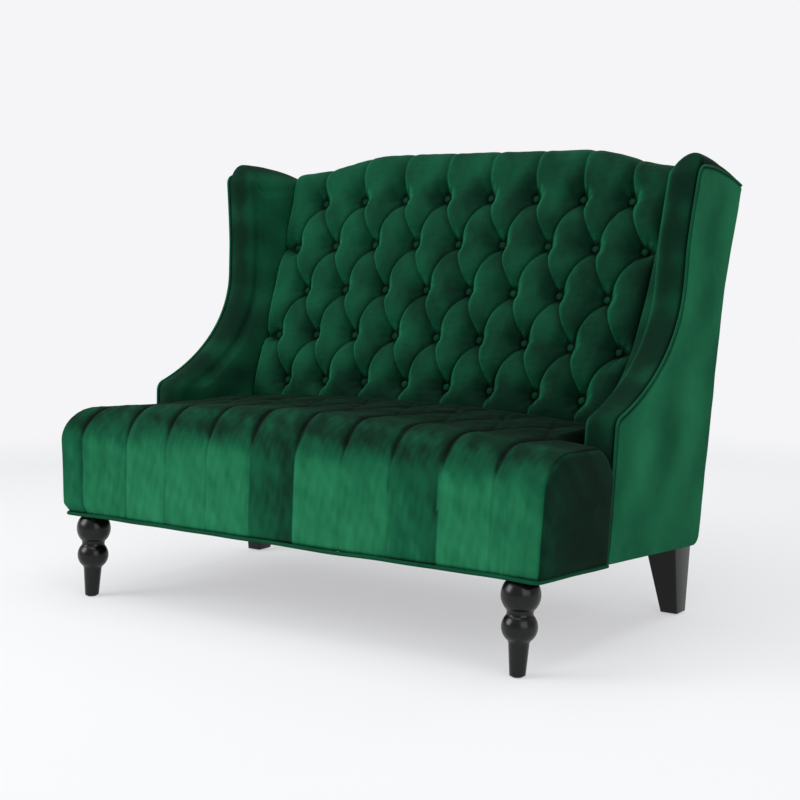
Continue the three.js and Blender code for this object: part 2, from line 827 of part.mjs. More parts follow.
function seatPad() {
  const slices = [];
  const inside = sideRailOuter - cutOverrun / 4;
  const first = Math.ceil((-inside - channelShift) / (channelPitch / 4));
  const last = Math.floor((inside - channelShift) / (channelPitch / 4));
  const corner = seatCornerShares.map((share) => {
    const angle = quarterTurn * share;
    const across = baseHalfWidth - seatCornerRadius * (1 - Math.sin(angle));
    return [across, seatCornerRadius * (1 - Math.cos(angle)), true];
  });
  const sides = [[sideRailOuter, 0, false], [sideRailOuter + clearance, 0, true], ...corner];
  for (const [across, cornerInset, outside] of sides.toReversed()) {
    slices.push(seatSlice(-across, cornerInset, outside));
  }
  for (let quarter = first; quarter <= last; quarter++) {
    slices.push(seatSlice(channelShift + (quarter * channelPitch) / 4, 0, false));
  }
  for (const [across, cornerInset, outside] of sides) {
    slices.push(seatSlice(across, cornerInset, outside));
  }
  const room = armRoom();
  return part("seat_pad", cut(loft(slices), room, mirrored(room)), velvet);
}

// Arm and wing: each side is drawn for the right-hand one, upright, and then flared outwards
function wingPadDepthAt(height) {
  return sideAt(height) - backHalfWidthAt(height) - padClearance;
}

const armEdge = [
  new THREE.Vector2(armFront, padFoot),
  new THREE.Vector2(armFront, bandStart),
  new THREE.Vector2(armFront, bandStart + bandBulgeFade),
  ...edge.filter((point) => point.y > bandStart + bandBulgeFade),
];

// How far the inner face lies from the outer one, wider towards the joint with the back
function innerFaceAt(front, depth, height) {
  const level = Math.max(height, seatJointHeight);
  const joint = buttonPlaneAt(level) - wingJointSetback;
  const share = THREE.MathUtils.clamp((depth - front) / (joint - front), 0, 1);
  const bowed = share < 0.5
    ? 2 * share * innerBowShare
    : innerBowShare + (2 * share - 1) * (1 - innerBowShare);
  return THREE.MathUtils.lerp(armThickness, wingPadDepthAt(level), bowed);
}

// Everything on the seat's side of the inner face
function sittingRoom() {
  const fronts = inset(armEdge, padInset).filter(
    (_, i) => armEdge[i].x <= wingFront + wingLean && armEdge[i].y <= wingTopHeight - wingCornerDrop);
  const foot = new THREE.Vector2(fronts[0].x, padFoot - cutOverrun);
  const top = new THREE.Vector2(fronts[fronts.length - 1].x, wingTopHeight + cutOverrun);
  const levels = [foot, ...fronts, top];
  const far = -baseHalfWidth / 2;
  return loft(levels.map((front) => {
    const level = Math.max(front.y, seatJointHeight);
    const joint = buttonPlaneAt(level) - wingJointSetback;
    const at = (depth) => [-innerFaceAt(front.x, depth, front.y), depth];
    const outline = [
      [far, front.x - cutOverrun],
      [-armThickness, front.x - cutOverrun],
      at(front.x),
      at((front.x + joint) / 2),
      at(joint),
      [-wingPadDepthAt(level), rearTop.x + cutOverrun],
      [far, rearTop.x + cutOverrun],
    ];
    return outline.map(([across, depth]) => new THREE.Vector3(across, depth, front.y));
  }));
}

// How far the inner edge of the rounded cover lies below the edge of the arm, more on the wing's top
function innerDropAt(point) {
  const front = wingFront + wingLean;
  const turned = THREE.MathUtils.smoothstep(point.x, front, front + wingCornerRun);
  return THREE.MathUtils.lerp(
    bandInnerDrop, wingInnerDrop, point.y > wingTopHeight - wingCornerDrop ? turned : 0);
}

function wingPadOutline() {
  const top = armEdge.map((point, i) => {
    const drop = Math.max(padInset, innerDropAt(point));
    return inset(armEdge, drop)[i];
  });
  const topRear = top[top.length - 1];
  return [
    ...top.slice(0, -1),
    new THREE.Vector2(rearAt(topRear.y) - wingRearGap, topRear.y),
    new THREE.Vector2(rearAt(postTop) - wingRearGap, postTop + clearance),
    new THREE.Vector2(buttonPlaneAt(postTop) + wingPadSetback, postTop + clearance),
    new THREE.Vector2(buttonPlaneAt(padFoot) + wingPadSetback, padFoot),
  ];
}

// The rounded cover over the edge of the arm and wing, fuller on the wing's top
function bandBulgeAt(point) {
  const grown = THREE.MathUtils.smoothstep(point.y, bandStart, bandStart + bandBulgeFade);
  const front = wingFront + wingLean;
  if (point.y <= wingTopHeight - wingCornerDrop) return bandBulge * grown;
  const turned = THREE.MathUtils.smoothstep(point.x, front, front + wingCornerRun);
  const along = THREE.MathUtils.clamp(
    (point.x - front - wingCornerRun) / (rearTop.x - front - wingCornerRun), 0, 1);
  return THREE.MathUtils.lerp(
    bandBulge, THREE.MathUtils.lerp(wingTopBulge, wingRearBulge, along), turned);
}

function bandEdge() {
  const points = armEdge.slice(0, -1);
  const last = armEdge[armEdge.length - 1];
  const back = points[points.length - 1].clone().sub(last).setLength(wingRearGap);
  points.push(last.clone().add(back));
  return points;
}

function band() {
  const points = bandEdge();
  const outer = 2 * armWeltRadius + clearance;
  const board = boardInnerFace + clearance + bandOverlap;
  return loft(points.map((point, i) => {
    const front = point.y > wingTopHeight - wingCornerDrop ? wingFront + wingLean : point.x;
    const inner = innerFaceAt(front + padInset, point.x, point.y);
    const innerDrop = innerDropAt(point);
    const section = [[outer, padInset - clearance], [outer, bandOuterDrop]];
    for (let step = 1; step < bandSteps; step++) {
      const share = step / bandSteps;
      const chord = THREE.MathUtils.lerp(bandOuterDrop, innerDrop, share);
      const rise = bandBulgeAt(point) + chord;
      section.push([
        THREE.MathUtils.lerp(outer, inner, share),
        chord - rise * Math.sin(Math.PI * share) ** bandRoundShare,
      ]);
    }
    const floor = innerDrop + bandDepth;
    section.push([inner, innerDrop], [inner, floor], [board, floor]);
    section.push([board, padInset - clearance]);
    return section.map(([across, drop]) => {
      const place = inset(points, drop)[i];
      return new THREE.Vector3(-across, place.x, place.y);
    });
  }));
}

function wingPad(side) {
  const body = sidePlate(wingPadOutline(), -baseHalfWidth / 4, -boardInnerFace - clearance);
  const padded = fuse(cut(body, sittingRoom()), band());
  return part(`${side}_wing_pad`, padded.applyMatrix4(flareShear), velvet);
}

function wingFrame(side) {
  const rear = inset(rearEdge(rearTopHeight - padInset), backCoverThickness + clearance);
  const outline = inset(edge, padInset).slice(0, -1);
  outline[0].y = rear[rear.length - 1].y;
  const board = sidePlate([...outline, ...rear], -boardInnerFace, -boardOuterFace);
  return part(`${side}_wing_frame`, board.applyMatrix4(flareShear), plywood);
}

function outsidePanel(side) {
  const outline = inset(edge, coverSeam).slice(0, -1);
  const rear = rearEdge(rearTopHeight - 2 * armWeltRadius);
  const panel = sidePlate([...outline, ...rear], -outsideCoverThickness, 0);
  return part(`${side}_outside_panel`, panel.applyMatrix4(flareShear), velvet);
}

function armWelt(side) {
  const foot = new THREE.Vector2(armFront, apronFoot);
  const points = [foot, ...edge.slice(1)];
  const route = points.map((point) => new THREE.Vector3(-armWeltRadius, point.x, point.y));
  const welt = piping(route, armWeltRadius);
  return part(`${side}_arm_welt`, welt.applyMatrix4(flareShear), velvet);
}

// Covers that run from side to side
function crestLineAt(across, setback) {
  const seat = crestSeatAt(across);
  return onBack(crestRearAt(seat), seat).y + setback * Math.tan(backTilt) - clearance;
}

// Places across the crest, from its end to the middle, that match the slices of the back pad
function crestPlaces() {
  const pitchThere = rowPitch(crestFall - crestRollStart);
  const columns = backColumns().filter((column) => column * pitchThere > crestShoulderStart - pitchThere);
  const places = columns.map((column) => column * pitchThere).reverse();
  places[0] = backHalfWidthAt(postTop) - padClearance;
  return [...places, 0];
}

function crestOutline(foot, margin, setback) {
  const right = crestPlaces().map(
    (across) => new THREE.Vector2(across, crestLineAt(across, setback)));
  const shoulder = right[0].y;
  const side = Math.min(shoulder, rearTopHeight - 2 * armWeltRadius);
  const lower = [
    new THREE.Vector2(sideAt(foot) - margin, foot),
    new THREE.Vector2(sideAt(side) - margin, side),
  ];
  const half = [...lower, ...right];
  const other = half.slice(0, -1).map((point) => new THREE.Vector2(-point.x, point.y));
  return [...half, ...other.toReversed()];
}

function outsideBackPanel() {
  const outer = rearEdge(wingTopHeight + cutOverrun);
  const profile = [...outer, ...inset(outer, backCoverThickness).toReversed()];
  const strip = sidePlate(profile, -2 * baseHalfWidth, 2 * baseHalfWidth);
  const outline = crestOutline(-cutOverrun, boardOuterFace, 0);
  const region = frontPlate(outline, 0, 2 * rearDepth);
  return part("outside_back_panel", keep(strip, region), velvet);
}

function baseWelt() {
  const side = baseHalfWidth + baseWeltProud;
  const right = [new THREE.Vector2(side, earRear)];
  for (let step = 0; step <= cornerSteps; step++) {
    const angle = (quarterTurn * step) / cornerSteps;
    right.push(new THREE.Vector2(
      side - baseWeltCornerRadius * (1 - Math.cos(angle)),
      baseWeltCornerRadius * (1 - Math.sin(angle)) - baseWeltProud,
    ));
  }
  const left = right.map((point) => new THREE.Vector2(-point.x, point.y));
  const route = [...right, ...left.toReversed()].map(
    (point) => new THREE.Vector3(point.x, point.y, baseWeltHeight));
  return part("base_welt", piping(route, baseWeltRadius), velvet);
}

function boltPlaces() {
  return [
    [baseHalfWidth - frontLegInset, frontLegSetback],
    [baseHalfWidth - railOuterFace - railThickness / 2, rearLegTopFront + rearLegTopDepth / 2],
  ];
}

function boreAt([across, depth], radius, lowZ, highZ) {
  return rod(radius, lowZ, highZ).translate(across, depth, 0);
}

function dustCover() {
  const reach = baseHalfWidth - dustCoverInset;
  const top = dustCoverFoot + dustCoverThickness;
  const rear = rearDepth - rearFootRadius - dustCoverRearGap;
  const sheet = block(-reach, reach, dustCoverInset, rear, dustCoverFoot, top);
  const holes = boltPlaces().flatMap(([across, depth]) => [across, -across].map(
    (place) => boreAt([place, depth], boltRadius + clearance, -cutOverrun, cutOverrun)));
  return part("dust_cover", cut(sheet, ...holes), dustCloth);
}

// Frame boards that run from side to side, with ends that follow the flared sides
function crossBoard(margin, front, rear, foot, top) {
  const outline = [
    new THREE.Vector2(margin - sideAt(foot), foot),
    new THREE.Vector2(sideAt(foot) - margin, foot),
    new THREE.Vector2(sideAt(top) - margin, top),
    new THREE.Vector2(margin - sideAt(top), top),
  ];
  return frontPlate(outline, front, rear);
}

function frontRail() {
  const margin = railOuterFace + padClearance;
  const board = crossBoard(margin, frontRailFront, frontRailRear, railFoot, railTop);
  const [place] = boltPlaces();
  const bores = [place, [-place[0], place[1]]].map((each) =>
    boreAt(each, boltRadius + clearance, -cutOverrun, railFoot + boltInRail + clearance));
  return part("front_rail", cut(board, ...bores), frameWood);
}

function rearRail() {
  const board = crossBoard(railOuterFace, rearRailFront, rearRailRear, rearRailFoot, railTop);
  return part("rear_rail", board, frameWood);
}

function springRail() {
  const rear = springRailFront + springRailThickness;
  const margin = railInnerFace + clearance;
  const board = crossBoard(margin, springRailFront, rear, springRailFoot, railTop);
  return part("spring_rail", board, frameWood);
}

function sideRail(side) {
  const outline = [
    new THREE.Vector2(frontRailRear + clearance, railFoot),
    new THREE.Vector2(frontRailRear + clearance, railTop),
    new THREE.Vector2(rearRailFront - clearance, railTop),
    new THREE.Vector2(rearRailFront - clearance, railFoot),
  ];
  const board = sidePlate(outline, -railInnerFace, -railOuterFace).applyMatrix4(flareShear);
  const place = boltPlaces()[1];
  const bore = boreAt(place, boltRadius + clearance, -cutOverrun, railFoot + boltInRail + clearance);
  return part(`${side}_side_rail`, cut(board, bore), frameWood);
}

function cornerBlock(name, corner, reach) {
  const side = -railInnerFace - clearance;
  const outline = new THREE.Shape([
    new THREE.Vector2(side, corner),
    new THREE.Vector2(side - cornerBlockLeg, corner),
    new THREE.Vector2(side, corner + reach),
  ]);
  const wedge = new THREE.ExtrudeGeometry(outline, {
    depth: cornerBlockHeight,
    bevelEnabled: false,
  });
  wedge.translate(0, 0, cornerBlockFoot).applyMatrix4(flareShear);
  return part(name, wedge, frameWood);
}

function backPost(side) {
  const outline = [padFoot, postTop].map(
    (height) => new THREE.Vector2(buttonPlaneAt(height) + wingPadSetback + clearance, height));
  for (const height of [postTop, padFoot]) {
    outline.push(new THREE.Vector2(
      buttonPlaneAt(height) + wingPadSetback + clearance + postDepth, height));
  }
  const outer = -boardInnerFace - clearance;
  const post = sidePlate(outline, outer - postThickness, outer);
  return part(`${side}_back_post`, post.applyMatrix4(flareShear), frameWood);
}

function backTopRail() {
  const reach = backHalfWidthAt(postTop) - padClearance;
  const joint = sideAt(postTop - topRailDrop) - boardInnerFace - postThickness - 2 * clearance;
  const shoulder = -topRailThickness / 4;
  const half = [
    new THREE.Vector2(joint, -topRailDrop),
    new THREE.Vector2(joint, shoulder),
    new THREE.Vector2(reach, shoulder),
  ];
  for (const across of crestPlaces()) {
    half.push(new THREE.Vector2(across, crestSeatAt(across) - clearance));
  }
  const other = half.slice(0, -1).map((point) => new THREE.Vector2(-point.x, point.y));
  const board = frontPlate([...half, ...other.toReversed()], backBoardFront, backBoardRear);
  return part("back_top_rail", board, frameWood);
}

function rearTopRail() {
  const setback = backCoverThickness + clearance;
  const foot = postTop - topRailDrop;
  const top = wingTopHeight + cutOverrun;
  const profile = [
    new THREE.Vector2(rearAt(foot) - setback, foot),
    new THREE.Vector2(rearAt(top) - setback, top),
    new THREE.Vector2(rearAt(top) - setback - topRailThickness, top),
    new THREE.Vector2(rearAt(foot) - setback - topRailThickness, foot),
  ];
  const reach = backHalfWidthAt(postTop) - padClearance;
  const strip = sidePlate(profile, -reach, reach);
  const region = frontPlate(crestOutline(foot - cutOverrun, 0, setback), 0, 2 * rearDepth);
  return part("rear_top_rail", keep(strip, region), frameWood);
}

function backSlat(side) {
  const foot = (depth) => (padFoot - topRowHeight + depth * Math.sin(backTilt)) / Math.cos(backTilt);
  const top = -topRailDrop - clearance;
  const outline = [
    onBack(backBoardFront, foot(backBoardFront)),
    onBack(backBoardFront, top),
    onBack(backBoardRear, top),
    onBack(backBoardRear, foot(backBoardRear)),
  ];
  const slat = part(
    `${side}_back_slat`, sidePlate(outline, -slatWidth / 2, slatWidth / 2), frameWood);
  slat.position.x = slatSpread;
  return slat;
}

function backWebbing() {
  const foot = (seatFloor - topRowHeight) / Math.cos(backTilt);
  const rear = webbingFront + webbingThickness;
  const sheet = block(
    -deckHalfWidth, deckHalfWidth, webbingFront, rear, foot, webbingTop);
  return part("back_webbing", sheet, jute);
}

// Spring deck: sinuous wires hooked into two channels, under a sheet
class SinuousWire extends THREE.Curve {
  constructor(start, end) {
    super();
    this.start = start;
    this.end = end;
  }

  getPoint(share) {
    const bar = THREE.MathUtils.lerp(-springEndShare, springBars + springEndShare, share);
    const turn = 2 * Math.PI * bar;
    const along = (bar - Math.sin(turn) / (2 * Math.PI)) / springBars;
    return new THREE.Vector3(
      springHalfWidth * Math.sin(turn / 2),
      THREE.MathUtils.lerp(this.start, this.end, along),
      wireHeight + springArch * Math.sin(Math.PI * THREE.MathUtils.clamp(along, 0, 1)),
    );
  }
}

const frontClipFront = frontRailRear - clipInset - clipDepth;
const rearClipRear = springRailFront + clipInset + clipDepth;
const hookSetback = clipWall + 2 * springWireRadius;

function springClip(name, closedSide, openSide) {
  const inward = Math.sign(openSide - closedSide) * clipWall;
  const outline = [
    [closedSide, padFoot],
    [openSide, padFoot],
    [openSide, padFoot + clipWall],
    [closedSide + inward, padFoot + clipWall],
    [closedSide + inward, clipTop - clipWall],
    [openSide, clipTop - clipWall],
    [openSide, clipTop],
    [closedSide, clipTop],
  ].map(([depth, height]) => new THREE.Vector2(depth, height));
  return part(name, sidePlate(outline, -clipHalfLength, clipHalfLength), zincSteel);
}

function seatSpring(index) {
  const wire = new SinuousWire(frontClipFront + hookSetback, rearClipRear - hookSetback);
  const steps = springBars * springStepsPerBar;
  const spring = part(
    `seat_spring_${index + 1}`, tube(wire, springWireRadius, springSides, steps), springSteel);
  spring.position.x = (index - (springCount - 1) / 2) * springSpacing;
  return spring;
}

function seatDeck() {
  const rear = seatRearFoot - clipWall;
  const sheet = block(
    -deckHalfWidth, deckHalfWidth, deckFront, rear, deckFoot, deckFoot + deckThickness);
  return part("seat_deck", sheet, jute);
}

// Legs, cut level at the foot so that a glide fits flat under each
const bodyPlace = new THREE.Matrix4()
  .makeTranslation(0, 0, frontUnderside)
  .multiply(new THREE.Matrix4().makeRotationX(-pitch));

function floorRoom() {
  const far = 2 * baseHalfWidth;
  const room = block(-far, far, -far, far, -far, glideThickness + clearance);
  return room.applyMatrix4(bodyPlace.clone().invert());
}

function legBores(place) {
  return [
    boreAt(place, boltRadius + clearance, legTop - boltInLeg - clearance, cutOverrun),
    boreAt(place, insertRadius + clearance, legTop - insertLength - clearance, cutOverrun),
  ];
}

function ballProfile(radius, centre, topRadius, footRadius) {
  const start = Math.asin(topRadius / radius);
  const end = Math.PI - Math.asin(footRadius / radius);
  const points = [];
  for (let step = 0; step <= ballSteps; step++) {
    const angle = THREE.MathUtils.lerp(start, end, step / ballSteps);
    points.push(new THREE.Vector2(radius * Math.sin(angle), radius * Math.cos(angle) - centre));
  }
  return points;
}

function frontLeg(side) {
  const profile = [
    new THREE.Vector2(0, legTop),
    ...ballProfile(upperBallRadius, upperBallDrop, ballTopRadius, neckRadius),
    ...ballProfile(lowerBallRadius, lowerBallDrop, neckRadius, pegTopRadius),
    new THREE.Vector2(pegTopRadius, -pegTopDrop),
    new THREE.Vector2(pegFootRadius, -pegFootDrop),
    new THREE.Vector2(0, -pegFootDrop),
  ];
  const place = boltPlaces()[0];
  const turned = new THREE.LatheGeometry(profile.toReversed(), turnedSides);
  turned.rotateX(quarterTurn).translate(place[0], place[1], 0);
  const leg = cut(turned, floorRoom(), ...legBores(place));
  return part(`${side}_front_leg`, leg, blackWood);
}

function legRing(lowX, highX, lowY, highY, height) {
  const trim = rearLegChamfer;
  return [
    [lowX + trim, lowY], [highX - trim, lowY],
    [highX, lowY + trim], [highX, highY - trim],
    [highX - trim, highY], [lowX + trim, highY],
    [lowX, highY - trim], [lowX, lowY + trim],
  ].map(([across, depth]) => new THREE.Vector3(across, depth, height));
}

function rearLeg(side) {
  const outer = baseHalfWidth - boardOuterFace - clearance;
  const top = legRing(
    outer - rearLegTopWidth, outer, rearLegTopFront, rearLegTopFront + rearLegTopDepth, legTop);
  const foot = legRing(
    outer - rearLegFootWidth, outer, rearLegFootFront, rearLegFootFront + rearLegFootDepth,
    -rearLegRun);
  const place = boltPlaces()[1];
  const leg = cut(loft([top, foot]), floorRoom(), ...legBores(place));
  return part(`${side}_rear_leg`, leg, blackWood);
}

function legBolt(name, place) {
  const bolt = boreAt(place, boltRadius, legTop - boltInLeg, railFoot + boltInRail);
  return part(name, bolt, zincSteel);
}

function legInsert(name, place) {
  const sleeve = boreAt(place, insertRadius, legTop - insertLength, legTop);
  const bore = boreAt(place, boltRadius + clearance, -cutOverrun, cutOverrun);
  return part(name, cut(sleeve, bore), brass);
}

function glide(name, place) {
  const profile = [
    new THREE.Vector2(0, 0),
    new THREE.Vector2(glideRadius - glideEdge, 0),
    new THREE.Vector2(glideRadius, glideEdge),
    new THREE.Vector2(glideRadius, glideThickness),
    new THREE.Vector2(0, glideThickness),
  ];
  const disc = part(name, new THREE.LatheGeometry(profile, turnedSides), glidePlastic);
  disc.geometry.rotateX(quarterTurn);
  disc.position.copy(place);
  return disc;
}

function footAt(across, depth) {
  const drop = (frontUnderside - depth * Math.sin(pitch)) / Math.cos(pitch);
  const foot = new THREE.Vector3(across, depth, -drop).applyMatrix4(bodyPlace);
  foot.z = 0;
  return foot;
}

// Assembly
function sideOf(side) {
  const [frontPlace, rearPlace] = boltPlaces();
  const group = new THREE.Group();
  group.name = `${side}_side`;
  group.add(
    wingPad(side), wingFrame(side), outsidePanel(side), armWelt(side), backPost(side),
    sideRail(side), backSlat(side), frontLeg(side), rearLeg(side),
    cornerBlock(`${side}_front_corner_block`, frontRailRear + clearance, cornerBlockLeg),
    cornerBlock(`${side}_rear_corner_block`, rearRailFront - clearance, -cornerBlockLeg),
    legBolt(`${side}_front_leg_bolt`, frontPlace), legBolt(`${side}_rear_leg_bolt`, rearPlace),
    legInsert(`${side}_front_leg_insert`, frontPlace),
    legInsert(`${side}_rear_leg_insert`, rearPlace),
  );
  return group;
}

function glidesOf(side) {
  const outer = baseHalfWidth - boardOuterFace - clearance;
  const group = new THREE.Group();
  group.name = `${side}_glides`;
  group.add(
    glide(`${side}_front_glide`, footAt(baseHalfWidth - frontLegInset, frontLegSetback)),
    glide(`${side}_rear_glide`, footAt(
      outer - rearLegFootWidth / 2, rearLegFootFront + rearLegFootDepth / 2)),
  );
  return group;
}

const back = new THREE.Group();
back.name = "tilted_back";
back.position.set(0, topRowDepth, topRowHeight);
back.rotation.x = -backTilt;
back.add(backPad(), backWebbing(), backTopRail());

const body = new THREE.Group();
body.name = "pitched_body";
body.position.z = frontUnderside;
body.rotation.x = -pitch;
body.add(
  seatPad(), seatDeck(), frontRail(), rearRail(), springRail(), rearTopRail(),
  springClip("front_spring_clip", frontClipFront, frontClipFront + clipDepth),
  springClip("rear_spring_clip", rearClipRear, rearClipRear - clipDepth),
  outsideBackPanel(), baseWelt(), dustCover(), back, sideOf("right"),
);
for (let index = 0; index < springCount; index++) body.add(seatSpring(index));

const leftSide = sideOf("left");
leftSide.scale.x = -1;
body.add(leftSide);

const rightGlides = glidesOf("right");
const leftGlides = glidesOf("left");
leftGlides.scale.x = -1;

const loveseat = new THREE.Group();
loveseat.name = "loveseat";
loveseat.add(body, rightGlides, leftGlides);
loveseat.updateMatrixWorld(true);
const bounds = new THREE.Box3().setFromObject(loveseat, true);
loveseat.position.y = -(bounds.min.y + bounds.max.y) / 2;
loveseat.updateMatrixWorld(true);

export default loveseat;
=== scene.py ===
import math
import random
import bmesh
import bpy
import numpy as np
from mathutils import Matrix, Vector


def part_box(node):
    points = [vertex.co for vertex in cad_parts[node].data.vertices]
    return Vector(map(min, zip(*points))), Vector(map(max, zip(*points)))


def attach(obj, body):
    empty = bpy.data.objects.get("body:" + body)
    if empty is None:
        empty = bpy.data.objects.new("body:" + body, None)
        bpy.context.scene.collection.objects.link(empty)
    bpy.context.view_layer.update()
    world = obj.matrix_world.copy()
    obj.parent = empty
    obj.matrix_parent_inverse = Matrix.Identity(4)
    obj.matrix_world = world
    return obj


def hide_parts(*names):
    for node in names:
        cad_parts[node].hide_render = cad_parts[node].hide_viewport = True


# A diamond-tufted wing-back loveseat in green velvet on black legs. Lengths are in millimetres in
# the upholstery's own frame (x across, y to the back, z up from the underside of the base), which
# is pitched back on its legs; toRoom puts points into the room in metres.

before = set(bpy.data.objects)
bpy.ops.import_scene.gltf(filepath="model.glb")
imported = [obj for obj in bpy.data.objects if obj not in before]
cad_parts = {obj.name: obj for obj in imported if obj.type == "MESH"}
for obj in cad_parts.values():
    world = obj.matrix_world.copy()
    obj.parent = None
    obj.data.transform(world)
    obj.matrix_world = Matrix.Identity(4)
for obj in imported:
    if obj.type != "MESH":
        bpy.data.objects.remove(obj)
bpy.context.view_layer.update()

stance = {
    "halfWidth": 616.0, "underside": 191.0, "pitch": math.radians(3.9),
    "flare": math.tan(math.radians(1.9)), "railFront": 14.3, "railFoot": 3.3,
}
cosPitch, sinPitch = math.cos(stance["pitch"]), math.sin(stance["pitch"])
# the front rail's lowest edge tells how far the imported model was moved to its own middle
shift = (stance["railFront"] * cosPitch + stance["railFoot"] * sinPitch
         - 1000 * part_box("front_rail")[0][1])


def toRoom(points):
    p = np.asarray(points, dtype=float)
    out = np.empty_like(p)
    out[..., 0] = p[..., 0]
    out[..., 1] = p[..., 1] * cosPitch + p[..., 2] * sinPitch - shift
    out[..., 2] = p[..., 2] * cosPitch - p[..., 1] * sinPitch + stance["underside"]
    return out / 1000


def smooth(value, low, high):
    t = np.clip((np.asarray(value, dtype=float) - low) / (high - low), 0, 1)
    return t * t * (3 - 2 * t)


def lerp(a, b, t):
    return a + (b - a) * t


def ripple(a, b, length, seed):
    # soft unevenness from a few waves of about one length, the same every time
    rng = random.Random(seed)
    total, waves = np.zeros(np.broadcast(a, b).shape), 9
    for _ in range(waves):
        turn = rng.uniform(0, math.tau)
        size = math.tau / (length * rng.uniform(0.7, 1.5))
        total = total + np.sin(size * (a * math.cos(turn) + b * math.sin(turn)) + rng.uniform(0, math.tau))
    return total / math.sqrt(waves)


def newObject(name, points, edges=(), faces=()):
    mesh = bpy.data.meshes.new(name)
    mesh.from_pydata([tuple(p) for p in np.reshape(points, (-1, 3))], list(edges), list(faces))
    mesh.validate()
    made = bpy.data.objects.new(name, mesh)
    bpy.context.collection.objects.link(made)
    return made


def meshPiece(name, points, materialName):
    # a closed piece over a grid of points, ring by ring
    piece = newObject(name, points, faces=loftFaces(*points.shape[:2]))
    turnOutwards(piece)
    piece.data.polygons.foreach_set("use_smooth", [True] * len(piece.data.polygons))
    piece.data.materials.append(bpy.data.materials[materialName])
    return piece


def turnOutwards(piece):
    work = bmesh.new()
    work.from_mesh(piece.data)
    bmesh.ops.recalc_face_normals(work, faces=work.faces)
    if work.calc_volume(signed=True) < 0:
        bmesh.ops.reverse_faces(work, faces=work.faces)
    work.to_mesh(piece.data)
    work.free()
    piece.data.update()


def loftFaces(rings, across):
    # quads between rings of equally many points, and a face on each end ring
    faces = []
    for i in range(rings - 1):
        for j in range(across):
            a, b = i * across + j, i * across + (j + 1) % across
            faces.append((a, b, b + across, a + across))
    return faces + [tuple(range(across))[::-1], tuple(range((rings - 1) * across, rings * across))]


def finishPiece(piece, node=None, napAndPaintedLight=None):
    # the pile's lie and the painted light and shade at each vertex, the CAD node that the piece stands for, and
    # its body
    if napAndPaintedLight is not None:
        layer = piece.data.attributes.new("napAndPaintedLight", "FLOAT", "POINT")
        values = np.broadcast_to(np.asarray(napAndPaintedLight, dtype=np.float32).ravel(), (len(piece.data.vertices),))
        layer.data.foreach_set("value", np.ascontiguousarray(values))
    if node:
        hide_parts(node)
    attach(piece, "root")


def linear(hexColour):
    parts = [int(hexColour[i:i + 2], 16) / 255 for i in (1, 3, 5)]
    parts = [c / 12.92 if c <= 0.04045 else ((c + 0.055) / 1.055) ** 2.4 for c in parts]
    return (*parts, 1.0)


def fill(tree, node, inputs):
    # each input takes a plain value, another node's output, or a node for its first output
    for key, value in inputs.items():
        if isinstance(value, bpy.types.Node):
            value = value.outputs[0]
        if isinstance(value, bpy.types.NodeSocket):
            tree.links.new(value, node.inputs[key])
        else:
            node.inputs[key].default_value = value


def addNode(tree, kind, inputs=None, **settings):
    node = tree.nodes.new(kind)
    for key, value in settings.items():
        setattr(node, key, value)
    fill(tree, node, inputs or {})
    return node


def newMaterial(name):
    material = bpy.data.materials.new(name)
    material.use_nodes = True
    tree = material.node_tree
    tree.nodes.clear()
    shader = addNode(tree, "ShaderNodeBsdfPrincipled")
    addNode(tree, "ShaderNodeOutputMaterial", {"Surface": shader})
    return tree, shader, addNode(tree, "ShaderNodeTexCoord").outputs["Object"]


velvetLook = {
    "tones": [(0.0, "#010B06"), (0.25, "#052619"), (0.5, "#0E5035"), (0.75, "#21714C"), (1.0, "#338F66")],
    "sheenTint": "#3AA272", "sheen": 0.07, "sheenRoughness": 0.3, "roughness": 0.85, "specular": 0.06,
    "patch": 9.0, "patchDepth": 0.26, "pile": 520.0, "handled": 70.0,
}


def velvetMaterial():
    # cotton velvet, woven and brushed: a soft pile whose tone follows each piece's attribute, which holds the
    # pile's lie together with painted light, shade and highlights
    look = velvetLook
    tree, shader, place = newMaterial("greenVelvetBrushed")
    patch = addNode(tree, "ShaderNodeTexNoise",
                    {"Vector": place, "Scale": look["patch"], "Detail": 8.0, "Roughness": 0.7})
    napAndPaintedLight = addNode(tree, "ShaderNodeAttribute", attribute_name="napAndPaintedLight").outputs["Fac"]
    depth = look["patchDepth"]
    spread = addNode(tree, "ShaderNodeMath", {0: patch, 1: depth, 2: 0.5 - depth / 2},
                     operation="MULTIPLY_ADD")
    lie = addNode(tree, "ShaderNodeMath", {0: spread, 1: napAndPaintedLight}, operation="ADD")
    ramp = addNode(tree, "ShaderNodeValToRGB", {"Fac": lie})
    stops = ramp.color_ramp.elements
    stops[0].color, stops[1].color = linear(look["tones"][0][1]), linear(look["tones"][-1][1])
    for position, tone in look["tones"][1:-1]:
        stops.new(position).color = linear(tone)
    # pile tufts are finer than a pixel, so they are drawn about 2 mm wide
    pile = addNode(tree, "ShaderNodeTexNoise", {"Vector": place, "Scale": look["pile"], "Detail": 2.0})
    handled = addNode(tree, "ShaderNodeTexNoise", {"Vector": place, "Scale": look["handled"], "Detail": 2.0})
    soft = addNode(tree, "ShaderNodeBump", {"Height": handled, "Strength": 0.12, "Distance": 0.004})
    fine = addNode(tree, "ShaderNodeBump",
                   {"Height": pile, "Normal": soft, "Strength": 0.25, "Distance": 0.0006})
    fill(tree, shader, {
        "Base Color": ramp, "Normal": fine, "Roughness": look["roughness"],
        "Specular IOR Level": look["specular"], "Sheen Weight": look["sheen"],
        "Sheen Roughness": look["sheenRoughness"], "Sheen Tint": linear(look["sheenTint"])})


